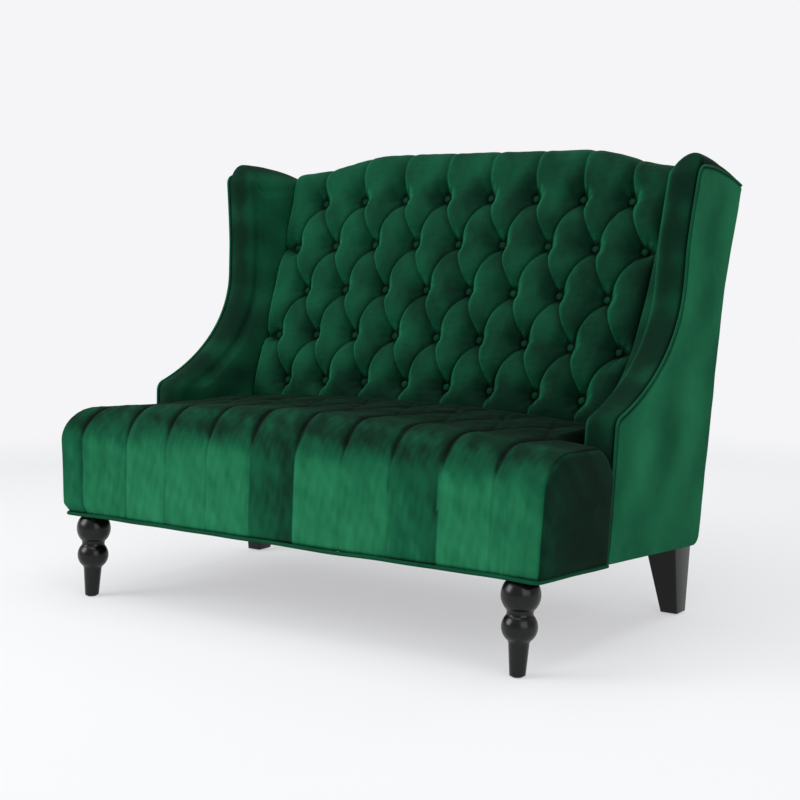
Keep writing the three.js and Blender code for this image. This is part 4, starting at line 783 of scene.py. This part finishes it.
def makeSeat():
    half = stance["halfWidth"]
    armInner = half - padding["arm"] - padding["clear"]
    spacing = 3.2
    inside = np.arange(-int(armInner / spacing), int(armInner / spacing) + 1) * spacing
    slices = [(a, 0.0, False, False) for a in inside]
    earSteps = list(np.linspace(armInner, seat["railSide"], 24))
    right = [(armInner, 0.0, False, False), (armInner, 0.0, False, True)]
    right += [(a, 0.0, False, True) for a in earSteps[1:]]
    for t in seat["cornerSteps"]:
        # the corner's own seam lies in the middle of its rounding
        angle = math.pi / 2 * t
        sewn = seat["cornerSeam"] * math.exp(-((t - 0.5) / 0.06) ** 2)
        right.append((half - seat["corner"] * (1 - math.sin(angle)) - sewn * 0.7,
                      seat["corner"] * (1 - math.cos(angle)) + sewn * 0.7, True, True))
    left = [(-a, c, o, e) for a, c, o, e in reversed(right)]
    rings, shares = zip(*[seatRing(*place) for place in left + slices + right])
    rings, shares = np.array(rings), np.array(shares)
    # the flat sides are closed with a low dome
    for end in (0, -1):
        rim = rings[end]
        middle = rim.mean(axis=0) * (1, 0, 0) + np.array(seat["sideMiddle"])
        dome = []
        for share, out in seat["sideDome"]:
            ring = middle + (rim - middle) * share
            ring[:, 0] = rim[:, 0] * share + middle[0] * (1 - share) + math.copysign(out, middle[0])
            dome.append(ring)
        dome = np.array(dome)
        flat = np.zeros((len(dome), rings.shape[1]))
        if end:
            rings, shares = np.concatenate([rings, dome]), np.concatenate([shares, flat])
        else:
            rings, shares = np.concatenate([dome[::-1], rings]), np.concatenate([flat, shares])
    lattice = (ripple(rings[..., 0], rings[..., 1], 60, 12) * 0.5
               + ripple(rings[..., 0], rings[..., 1] + rings[..., 2], 22, 13) * 0.2)
    rings[..., 2] += np.where(rings[..., 2] > 200, lattice, 0)
    x, y, z = (rings[..., k].copy() for k in range(3))
    rings = swollen(rings)
    piece = meshPiece("seatCushion", toRoom(rings), "greenVelvetBrushed")
    channel = np.floor((x - seat["shift"]) / seat["pitch"] + 0.5)
    shade = np.zeros_like(x)
    for index, value in seat["darkChannels"].items():
        shade = np.where(channel == index, value, shade)
    within = (x - seat["shift"]) / seat["pitch"] + 0.5 - channel
    face = slopes(rings)
    front = smooth(z, 235, 150) * smooth(y, 90, 40)
    # painted light and shade on the face: lighter, more so lower down, with painted shade along its foot
    napAndPaintedLight = front * (seat["faceLight"] + shade * (0.7 + 0.6 * within) + 0.05 * smooth(z, 120, 20)
                   - 0.3 * smooth(z, 9, 3))
    # painted shade on the top, which gets most light from above; lighter where it faces left towards the key
    # lamp, darker towards the back
    napAndPaintedLight = napAndPaintedLight + (1 - front) * (seat["topLight"] - 0.10 * face[..., 0] - 0.25 * smooth(y, 40, 150)
                               - 0.1 * smooth(y, 330, 450))
    # painted shade: each channel darkens into its seam, and most where it turns over the edge
    napAndPaintedLight = napAndPaintedLight - (0.10 + 0.12 * smooth(z, 120, 200)) * smooth(shares, 0.92, 0.6) * smooth(y, 230, 150)
    # painted shade: the flat sides take the darker side tone
    napAndPaintedLight = lerp(napAndPaintedLight, seat["sideLight"], smooth(np.abs(x) - z * stance["flare"], half - 4, half - 1))
    # random tone, and painted shade in the valleys of the top's tufts
    napAndPaintedLight = (napAndPaintedLight + 0.035 * ripple(x, (z + y) / 2, 60, 21) + 0.025 * ripple(2 * x, z + y, 34, 22)
           - 0.10 * smooth(shares, 0.5, 0.1) * (1 - front))
    finishPiece(piece, "seat_pad", napAndPaintedLight)
    print("seat cushion:", len(piece.data.polygons), "faces")


makeSeat()


def bandBulgeAt(points):
    grown = smooth(points[:, 1], padding["bandStart"], padding["bandStart"] + padding["bulgeFade"])
    front = side["wingFront"] + side["lean"]
    turned = smooth(points[:, 0], front, front + side["cornerRun"])
    rear = float(rearAt(side["rearTop"]))
    along = np.clip((points[:, 0] - front - side["cornerRun"]) / (rear - front - side["cornerRun"]), 0, 1)
    top = lerp(padding["topBulge"], padding["rearBulge"], along)
    upper = points[:, 1] > side["wingTop"] - side["cornerDrop"]
    return np.where(upper, lerp(padding["bulge"], top, turned), padding["bulge"] * grown)


def curlAt(depth, height):
    # the wing's front edge curls outwards towards its top
    front = side["wingFront"] + side["lean"]
    joint = buttonPlaneAt(np.maximum(height, seatJoint)) - padding["joint"]
    along = np.clip((joint - depth) / (joint - front), 0, 1)
    up = np.clip((height - side["curlFrom"]) / (side["wingTop"] - side["curlFrom"]), 0, 1.2) ** 1.3
    return side["curl"] * up * along


def flared(across, depth, height, curled=True):
    # the right-hand side is drawn upright from its outer face and then leans outwards
    x = sideAt(height) + across + (curlAt(depth, height) if curled else 0)
    return np.stack([x, depth, height], axis=-1)


def mirrorPoints(points, sign):
    out = points.copy()
    out[..., 0] *= sign
    return out


def faceLight(height, share):
    # painted light on the inner face: lighter in the wing, and towards the back
    return -0.21 + padding["wingLight"] * smooth(height, *padding["wingLightFrom"]) + 0.04 * share


def makeArmPad(name, sign, node):
    spacing = 4.0
    edge = sideEdge(padFoot, spacing)
    corner = side["wingFront"] + side["lean"]
    front = np.minimum(edge[:, 0], corner)
    inner = innerFaceAt(front + padding["inset"], edge[:, 0], edge[:, 1])
    bulge = bandBulgeAt(edge)
    onTop = np.where(edge[:, 1] > side["wingTop"] - side["cornerDrop"],
                     smooth(edge[:, 0], corner, corner + side["cornerRun"]), 0.0)
    rearwards = smooth(edge[:, 0], corner + side["cornerRun"], edge[-1, 0])
    wingDrop = lerp(padding["wingInnerDrop"], padding["rearInnerDrop"], rearwards)
    innerDrop = lerp(padding["innerDrop"], wingDrop, onTop)
    count = len(edge)
    ring, napAndPaintedLight = [], []

    def add(across, depth, height, shade, curled=True):
        ring.append(flared(-across, depth, height, curled))
        napAndPaintedLight.append(np.broadcast_to(shade, (count,)))

    low = inset(edge, np.maximum(padding["inset"] - 0.3, innerDrop))
    add(padding["outer"], low[:, 0], low[:, 1], padding["hidden"], False)
    for share in np.linspace(0, 1, 36):
        # over the wing's top the roll stands highest near the welt
        lean = share ** lerp(1.0, 0.62, onTop)
        level = lerp(padding["outerDrop"], innerDrop, share)
        arch = np.sin(math.pi * lean) ** padding["archPower"] if 0 < share < 1 else np.zeros(count)
        drop = level - (bulge + level) * arch
        middle = math.sin(math.pi * share)
        drop = drop + 0.5 * ripple(edge[:, 1] + edge[:, 0], share * 70, 55, 31) * middle
        # short gathers where the cover turns over the tip of the arm, and a fold at the wing's corner
        tip = np.exp(-((edge[:, 0] - side["armFront"] - 30) / 26) ** 2) * (edge[:, 1] < 340)
        gathers = np.cos((edge[:, 0] - side["armFront"]) / 5.0 + 3 * share)
        drop = drop + padding["tipGather"] * tip * middle * gathers
        run = edge[:, 0] - corner - 6
        drop = drop + padding["cornerFold"] * middle * np.exp(-(run / 4.5) ** 2) * (edge[:, 1] > 760)
        place = inset(edge, drop)
        # painted light and shade across the band: a little lighter towards the outer edge, darker inwards over
        # the wing's top, with painted shade by the welt
        light = (0.05 * math.cos(math.pi * share) - 0.27 - 0.04 * onTop * share
                 - padding["weltShade"] * math.exp(-(share / 0.06) ** 2))
        light = lerp(light, faceLight(edge[:, 1], 0), smooth(share, 0.5, 1.0))
        # a painted highlight along the right band's inner edge, on the right arm only
        light = light + padding["edgeLight"] * math.exp(-((share - 0.94) / 0.08) ** 2) * (sign > 0)
        add(lerp(padding["outer"], inner, share), place[:, 0], place[:, 1], light)
    # the inner face, from the band to the joint with the back
    start = inset(edge, innerDrop)
    run = np.linspace(0, 1, count)
    jointTop = side["rearTop"] - padding["jointTop"]
    jointHeights = np.interp(run, [0, *padding["jointShares"], 1.0],
                             [padFoot, *padding["jointHeights"], jointTop])
    ease = smooth(edge[:, 1], seatJoint, side["sweepTop"])
    jointHeights = np.minimum(np.maximum(jointHeights, edge[:, 1] * (1 - ease) + jointHeights * ease), jointTop)
    jointHeights = np.maximum.accumulate(jointHeights)
    jointDepths = buttonPlaneAt(jointHeights) - padding["joint"]
    rising = edge[: np.argmax(edge[:, 1])]
    for share in np.linspace(0, 1, 52)[1:]:
        depth = lerp(start[:, 0], jointDepths, share)
        height = lerp(start[:, 1], jointHeights, share)
        here = np.interp(height, rising[:, 1], np.minimum(rising[:, 0], corner))
        face = innerFaceAt(here + padding["inset"], depth, height)
        soft = ripple(depth, height, 110, 33) * 0.6 * math.sin(math.pi * share)
        add(lerp(inner, face + soft, min(share * 4, 1.0)), depth, height, faceLight(height, share))
    # tucked in behind the back pad and closed along the board
    behind = jointDepths + padding["joint"] + padding["setback"]
    level = np.maximum(jointHeights, seatJoint)
    deep = sideAt(level) - backHalfWidthAt(level) - padding["clear"]
    board = padding["board"]
    mid = 0.5 * (np.stack([behind, jointHeights], axis=1) + low)
    for across, depth, height in ((deep, behind, jointHeights), (board, behind, jointHeights),
                                  (board, mid[:, 0], mid[:, 1]), (board, low[:, 0], low[:, 1])):
        add(across, depth, height, padding["hidden"], False)
    rings = mirrorPoints(np.stack(ring, axis=1), sign)
    piece = meshPiece(name, toRoom(rings), "greenVelvetBrushed")
    napAndPaintedLight = np.stack(napAndPaintedLight, axis=1) + 0.04 * ripple(rings[..., 1], rings[..., 2], 120, 35)
    finishPiece(piece, node, napAndPaintedLight)


def rearEdge(top, spacing):
    bend, run, radius = side["bendHeight"], side["bendRun"], side["footRadius"]
    onLine = lambda height: (float(rearAt(height)), height)
    foot = float(rearAt(0))
    parts = [
        bezier([onLine(top), onLine(bend + run)], 30),
        bezier([onLine(bend + run), onLine(bend), onLine(bend - run)], 24),
        bezier([onLine(bend - run), onLine(radius)], 30),
        bezier([onLine(radius), (foot, 0), (foot - radius, 0)], 16),
    ]
    return evenly(np.concatenate(parts), spacing)


covers = {
    "inset": 3.8, "tuck": 6.0, "puff": 1.6, "backPuff": 2.0, "edgeRound": 1.4, "backEdgeRound": 1.6,
    "seamShade": 0.3, "pulls": 1.5, "sheet": 3.9, "backSheet": 4.8, "light": 0.08, "backLight": 0.02,
    "overWing": 2.0,
}


def makeOutsidePanel(name, sign, node):
    # a thin cover drawn tight over the board, its lower edge turned under and tacked
    edge = inset(sideEdge(0.0, 4.0), covers["inset"])
    rear = rearEdge(side["rearTop"] - covers["tuck"], 4.0)[::-1]
    lower = np.concatenate([bezier([(side["armFront"] + covers["inset"], 0.0), rear[0]], 60), rear[1:]])
    count = 260
    upper = evenly(edge, np.linalg.norm(np.diff(edge, axis=0), axis=1).sum() / (count + 10))
    lower = evenly(lower, np.linalg.norm(np.diff(lower, axis=0), axis=1).sum() / (count + 10))
    at = np.linspace(0, 1, count)
    upper, lower = [np.stack([np.interp(at, np.linspace(0, 1, len(line)), line[:, k]) for k in (0, 1)],
                             axis=1) for line in (upper, lower)]
    # the two lines stay apart at their ends
    upper[0] += (0.0, covers["tuck"])
    lower[0] += (covers["tuck"], 0.0)
    upper[-1] += (-4.0, 0.0)
    lower[-1] += (0.0, -covers["tuck"])
    across = 70
    outer, inner, shade = [], [], []
    for step in np.linspace(0, 1, across):
        # closer rows at the edges, for the seams
        share = step - 0.13 * math.sin(2 * math.pi * step)
        place = lerp(upper, lower, share)
        seam = np.linalg.norm(place - upper, axis=1)
        gap = np.minimum(seam, np.linalg.norm(place - lower, axis=1))
        # painted shade along the upper seam, under the welt
        shade.append(-covers["seamShade"] * np.exp(-(seam / 4.5) ** 2))
        puff = covers["puff"] * smooth(gap, 0, 60) + 0.35 * ripple(place[:, 0], place[:, 1], 90, 41)
        edgeRound = -covers["edgeRound"] * (1 - np.clip(gap / 3.0, 0, 1)) ** 2
        # pulls where the lower edge is turned under and tacked
        pull = np.sin(place[:, 0] / 11.0 + 2 * np.sin(place[:, 0] / 60))
        sag = covers["pulls"] * pull * smooth(place[:, 1], 60, 4) * smooth(gap, 0, 9)
        outer.append(flared(puff + edgeRound + sag - 0.6, place[:, 0], place[:, 1]))
        inner.append(flared(-covers["sheet"], place[:, 0], place[:, 1], False))
    rings = mirrorPoints(np.stack(outer + inner[::-1], axis=1), sign)
    piece = meshPiece(name, toRoom(rings), "greenVelvetBrushed")
    # a lighter tone for the side cover, painted light, with random tone
    napAndPaintedLight = covers["light"] + 0.05 * ripple(rings[..., 1], rings[..., 2], 170, 43)
    finishPiece(piece, node, napAndPaintedLight + np.stack(shade + shade[::-1], axis=1))


def makeOutsideBack():
    # from under the rear rail up to the crest, tight over the rear frame
    count = 170
    # closer columns at the sides, where the line follows the wings' rolls
    at = np.linspace(-1, 1, count)
    at = np.sign(at) * (1 - (1 - np.abs(at)) ** 1.7)
    rear = rearEdge(side["wingTop"] + 60, 5.0)[::-1]
    bentSlope = math.cos(math.atan(side["rearTilt"]))
    outer, inner = [], []
    run = np.concatenate([[0], np.cumsum(np.linalg.norm(np.diff(rear, axis=0), axis=1))])
    # over the wings it closes the ends of their rolls
    wide = float(sideAt(side["rearTop"]))
    reach = wide - float(backHalfWidthAt(side["rearTop"])) - padding["clear"]
    for share in np.linspace(0, 1, 110):
        x = at * (wide - covers["overWing"])
        crest, rearFace = crestSeatAt(x)
        line = fromBack(x, rearFace, crest)[:, 2] - 0.3
        over = np.clip((wide - padding["outer"] - np.abs(x)) / (reach - padding["outer"]), 0, 1)
        level = lerp(padding["outerDrop"], padding["rearInnerDrop"], over)
        roll = side["rearTop"] - level - 1.5
        roll = roll + (padding["rearBulge"] + level) * np.sin(math.pi * over ** 0.62) ** padding["archPower"]
        roll = np.maximum(roll, side["rearTop"] - padding["rearInnerDrop"])
        line = np.where(np.abs(x) > wide - reach, roll, line)
        topRun = np.interp(line, rear[:, 1], run)
        here = share * topRun
        depth = np.interp(here, run, rear[:, 0])
        height = np.interp(here, run, rear[:, 1])
        gap = np.minimum.reduce([here, topRun - here, (1 - np.abs(at)) * 640])
        puff = covers["backPuff"] * smooth(gap, 0, 90) + 0.4 * ripple(x, height, 110, 51)
        edgeRound = -covers["backEdgeRound"] * (1 - np.clip(gap / 3.0, 0, 1)) ** 2
        normalY = np.where(height > side["bendHeight"], bentSlope, 1.0)
        x = at * (sideAt(height) - covers["overWing"])
        outer.append(np.stack([x, depth + (puff + edgeRound - 0.4) * normalY, height], axis=1))
        inner.append(np.stack([x, depth - covers["backSheet"], np.maximum(height, covers["backSheet"])],
                              axis=1))
    rings = np.stack(outer + inner[::-1], axis=1)
    piece = meshPiece("outsideBackCover", toRoom(rings), "greenVelvetBrushed")
    napAndPaintedLight = covers["backLight"] + 0.05 * ripple(rings[..., 0], rings[..., 2], 190, 53)
    finishPiece(piece, "outside_back_panel", napAndPaintedLight)


makeArmPad("rightArmAndWing", 1, "right_wing_pad")
makeArmPad("leftArmAndWing", -1, "left_wing_pad")
makeOutsidePanel("rightOutsideCover", 1, "right_outside_panel")
makeOutsidePanel("leftOutsideCover", -1, "left_outside_panel")
makeOutsideBack()
print("arms, wings and outside covers ready")


welts = {
    "armRadius": 3.0, "baseRadius": 4.0, "sides": 14, "baseProud": 1.0, "baseCorner": 12.0, "height": -1.0,
}


def weltTree():
    # a covered cord along a path
    tree, given, output = nodesTree("coveredWelt", [
        ("Radius", "NodeSocketFloat", 0.003), ("Sides", "NodeSocketInt", 14)])
    ring = addNode(tree, "GeometryNodeCurvePrimitiveCircle", {
        "Resolution": given.outputs["Sides"], "Radius": given.outputs["Radius"]})
    line = addNode(tree, "GeometryNodeMeshToCurve", {0: given.outputs["Geometry"]})
    tube = addNode(tree, "GeometryNodeCurveToMesh", {"Curve": line, "Profile Curve": ring, "Fill Caps": True})
    return finishTree(tree, output, tube, "greenVelvetBrushed")


def makeWelt(name, route, radius, node, napAndPaintedLight):
    source = newObject(name + "Route", toRoom(route), [(i, i + 1) for i in range(len(route) - 1)])
    piece = grown(name, source, weltTree(), {"Radius": radius / 1000, "Sides": welts["sides"]})
    turnOutwards(piece)
    finishPiece(piece, node, napAndPaintedLight)


def makeWelts():
    for label, sign in (("right", 1), ("left", -1)):
        edge = sideEdge(seat["foot"], 2.5)[:-1]  # it ends just before the rear corner
        route = mirrorPoints(flared(-welts["armRadius"], edge[:, 0], edge[:, 1]), sign)
        # the arm welts get a darker tone, painted shade along their seam
        makeWelt(label + "ArmWelt", route, welts["armRadius"], label + "_arm_welt", -0.06)
    half, proud, corner = stance["halfWidth"] + welts["baseProud"], welts["baseProud"], welts["baseCorner"]
    turn = np.linspace(0, math.pi / 2, 14)
    right = np.stack([half - corner * (1 - np.cos(turn)), corner * (1 - np.sin(turn)) - proud], axis=1)
    right = np.concatenate([[[half, seat["earRear"]]], right])
    line = evenly(np.concatenate([right, (right * (-1, 1))[::-1]]), 3.0)
    # it isn't quite straight: here and there the tacked edge lets it hang a little
    hang = 1.4 * np.exp(-((line[:, 0] - 130) / 70) ** 2) + 0.4 * ripple(line[:, 0], line[:, 1], 150, 61)
    route = swollen(np.stack([line[:, 0], line[:, 1], np.full(len(line), seat["foot"])], axis=1))
    route[:, 2] = welts["height"] - hang
    makeWelt("baseWelt", route, welts["baseRadius"], "base_welt", -0.1)


makeWelts()
print("welts ready")


frontLegs = {
    "across": 567.6, "depth": 28.7, "upperBall": 38.5, "upperDrop": 33.4, "neck": 25.5, "neckDrop": 69.5,
    "lowerBall": 35.0, "lowerDrop": 94.5, "pegTop": 20.2, "pegDrop": 127.0, "pegFoot": 15.0,
    "footDrop": 190.0, "sides": 96, "upperHalf": 38.0, "lowerHalf": 32.5, "topShare": 0.80, "rimShare": 0.83,
}
rearLegs = {
    "outer": 611.4, "topWidth": 72.0, "footWidth": 39.0, "topDepth": 78.0, "footDepth": 43.0,
    "topFront": 603.0, "footFront": 627.0, "run": 148.0, "edge": 2.5,
}
glideTop, glideGap, edgeWidth = 3.0, 0.3, 0.8


def legProfile():
    # radius and height down the turning: two balls, a neck with fillets, a long tapering peg
    g = frontLegs
    line = [(g["upperBall"] * g["topShare"], 0.7), (g["upperBall"] * g["rimShare"], -1.0)]
    for degrees in np.linspace(52, -46, 30):
        a = math.radians(degrees)
        line.append((g["upperBall"] * math.cos(a) ** 0.9, -g["upperDrop"] + g["upperHalf"] * math.sin(a)))
    for t in np.linspace(0, 1, 14)[1:]:
        line.append((g["neck"] + 1.2 * (1 - math.sin(math.pi * t)), lerp(-62.0, -g["neckDrop"] - 3.5, t)))
    for degrees in np.linspace(43, -52, 28):
        a = math.radians(degrees)
        line.append((g["lowerBall"] * math.cos(a) ** 0.9, -g["lowerDrop"] + g["lowerHalf"] * math.sin(a)))
    for t in np.linspace(0, 1, 30):
        radius = lerp(g["pegTop"], g["pegFoot"], t)
        line.append((radius, lerp(-g["pegDrop"] + 2, -g["footDrop"] - 4, t)))
    return line


def frontLegRings(sign):
    g = frontLegs
    turn = np.linspace(0, math.tau, g["sides"], endpoint=False)
    return [np.stack([sign * g["across"] + radius * np.cos(turn), g["depth"] + radius * np.sin(turn),
                      np.full(len(turn), height)], axis=1) for radius, height in legProfile()]


def rearLegRings(sign):
    g = rearLegs
    rings = []
    for t in np.linspace(0, 1.06, 30):
        outer = g["outer"]
        low = outer - lerp(g["topWidth"], g["footWidth"], t)
        front = lerp(g["topFront"], g["footFront"], t)
        rear = lerp(g["topFront"] + g["topDepth"], g["footFront"] + g["footDepth"], t)
        height = lerp(0.7, -g["run"], t)
        corner = []
        for cx, cy, quarter in ((outer, front, -1), (outer, rear, 0), (low, rear, 1), (low, front, 2)):
            x = cx - math.copysign(g["edge"], cx - (outer + low) / 2)
            y = cy - math.copysign(g["edge"], cy - (front + rear) / 2)
            for step in range(5):
                a = math.pi / 2 * (quarter + step / 4)
                corner.append((sign * (x + g["edge"] * math.cos(a)), y + g["edge"] * math.sin(a), height))
        rings.append(corner)
    return rings


def makeLeg(name, rings, degrees, node):
    points = toRoom(np.array(rings))
    # cut level, a glide's thickness above the floor
    points[..., 2] = np.maximum(points[..., 2], (glideTop + glideGap) / 1000)
    piece = meshPiece(name, points, "beechBlackLacquered")
    edge = piece.modifiers.new("edges", "BEVEL")
    edge.width, edge.segments, edge.limit_method = edgeWidth / 1000, 2, "ANGLE"
    edge.angle_limit = math.radians(degrees)
    edge.use_clamp_overlap = True
    finishPiece(piece, node)


for label, sign in (("right", 1), ("left", -1)):
    makeLeg(label + "FrontLeg", frontLegRings(sign), 25, label + "_front_leg")
    makeLeg(label + "RearLeg", rearLegRings(sign), 40, label + "_rear_leg")
print("legs ready")


def bothSides(*names):
    return [label + name for label in ("left_", "right_") for name in names]


dressed = {
    "poplarPlaned": ["front_rail", "rear_rail", "spring_rail", "back_top_rail", "rear_top_rail"]
    + bothSides("back_post", "side_rail", "back_slat", "front_corner_block", "rear_corner_block"),
    "birchPlywoodSawn": bothSides("wing_frame"),
    "springSteelDrawn": ["seat_spring_%d" % k for k in range(1, 7)],
    "steelZincPlated": ["front_spring_clip", "rear_spring_clip"]
    + bothSides("front_leg_bolt", "rear_leg_bolt"),
    "brassTurned": bothSides("front_leg_insert", "rear_leg_insert"),
    "juteWoven": ["seat_deck", "back_webbing"],
    "dustClothBonded": ["dust_cover"],
    "nylonMoulded": bothSides("front_glide", "rear_glide"),
}
for materialName, names in dressed.items():
    for name in names:
        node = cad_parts[name]
        node.data.materials.clear()
        node.data.materials.append(bpy.data.materials[materialName])


print("frame pieces dressed")


studio = {
    "floor": "#F5F5F7", "floorShade": "#DFE1E3", "shadowKept": 0.46, "fadeFrom": 1.3, "fadeTo": 3.2,
    "world": 0.48, "camera": (2058.8, -2486.8, 850.1), "target": (0.0, 437.8, 449.2), "lens": 71.19,
    # each lamp's place and target in metres, its size and its power
    "lamps": {
        "key": ((-2.7, -2.8, 2.2), (0, 0, 0.5), 2.2, 100.0),
        "top": ((0.0, -0.4, 3.4), (0, 0, 0.0), 3.2, 70.0),
        "fill": ((3.2, -1.8, 1.6), (0, 0, 0.5), 2.4, 36.0),
        "rim": ((0.5, 2.8, 2.6), (0, 0, 0.6), 1.8, 24.0),
    },
}


def placed(point):
    # a place in the room, in millimetres from the same origin as the upholstery's
    return Vector((point[0], point[1] - shift, point[2])) / 1000


def seenThrough(tree, ray, lit, plain, most=None):
    # the camera and one kind of ray see the plain colour, the rest the lit one
    path = addNode(tree, "ShaderNodeLightPath")
    share = addNode(tree, "ShaderNodeMath", {0: path.outputs["Is Camera Ray"], 1: path.outputs[ray]},
                    operation="MAXIMUM")
    if most:
        share = addNode(tree, "ShaderNodeMath", {0: most, 1: share}, operation="MULTIPLY")
    output = next(node for node in tree.nodes if node.bl_idname.startswith("ShaderNodeOutput"))
    fill(tree, output, {"Surface": addNode(tree, "ShaderNodeMixShader", {0: share, 1: lit, 2: plain})})


def makeStage():
    floor = newObject("floor", [(-30, -30, 0), (30, -30, 0), (30, 30, 0), (-30, 30, 0)], faces=[(0, 1, 2, 3)])
    # paper backdrop, matt: it takes the soft shadow and fades to plain white away from the legs
    tree, shader, place = newMaterial("paperBackdrop")
    fill(tree, shader, {"Base Color": linear(studio["floorShade"]), "Roughness": 1.0,
                        "Specular IOR Level": 0.0})
    away = addNode(tree, "ShaderNodeVectorMath", {0: place}, operation="LENGTH")
    far = addNode(tree, "ShaderNodeMapRange", {
        "Value": away.outputs["Value"], "From Min": studio["fadeFrom"],
        "From Max": studio["fadeTo"]}, interpolation_type="SMOOTHSTEP")
    glow = addNode(tree, "ShaderNodeEmission", {"Color": linear(studio["floor"]), "Strength": 1.0})
    even = addNode(tree, "ShaderNodeMath", {0: far, 1: 1 - studio["shadowKept"]}, operation="MAXIMUM")
    seenThrough(tree, "Is Glossy Ray", shader, glow, even)
    floor.data.materials.append(bpy.data.materials["paperBackdrop"])

    world = bpy.data.worlds.new("studio")
    bpy.context.scene.world = world
    world.use_nodes = True
    tree = world.node_tree
    tree.nodes.clear()
    addNode(tree, "ShaderNodeOutputWorld")
    soft = addNode(tree, "ShaderNodeBackground", {"Color": linear("#FFFFFF"), "Strength": studio["world"]})
    plain = addNode(tree, "ShaderNodeBackground", {"Color": linear(studio["floor"]), "Strength": 1.0})
    seenThrough(tree, "Is Transmission Ray", soft, plain)


def areaLight(name, place, target, size, power):
    data = bpy.data.lights.new(name, "AREA")
    data.shape, data.size, data.energy = "SQUARE", size, power
    lamp = bpy.data.objects.new(name, data)
    lamp.location = place
    lamp.rotation_euler = (Vector(target) - Vector(place)).to_track_quat("-Z", "Y").to_euler()
    bpy.context.collection.objects.link(lamp)


def makeCamera():
    data = bpy.data.cameras.new("camera")
    data.lens, data.sensor_width = studio["lens"], 36.0
    camera = bpy.data.objects.new("camera", data)
    camera.location = placed(studio["camera"])
    toward = placed(studio["target"]) - camera.location
    camera.rotation_euler = toward.to_track_quat("-Z", "Y").to_euler()
    bpy.context.collection.objects.link(camera)
    bpy.context.scene.camera = camera


makeStage()
for name, lamp in studio["lamps"].items():
    areaLight(name, *lamp)
makeCamera()
bpy.context.scene.view_settings.view_transform = "Standard"
print("stage ready")
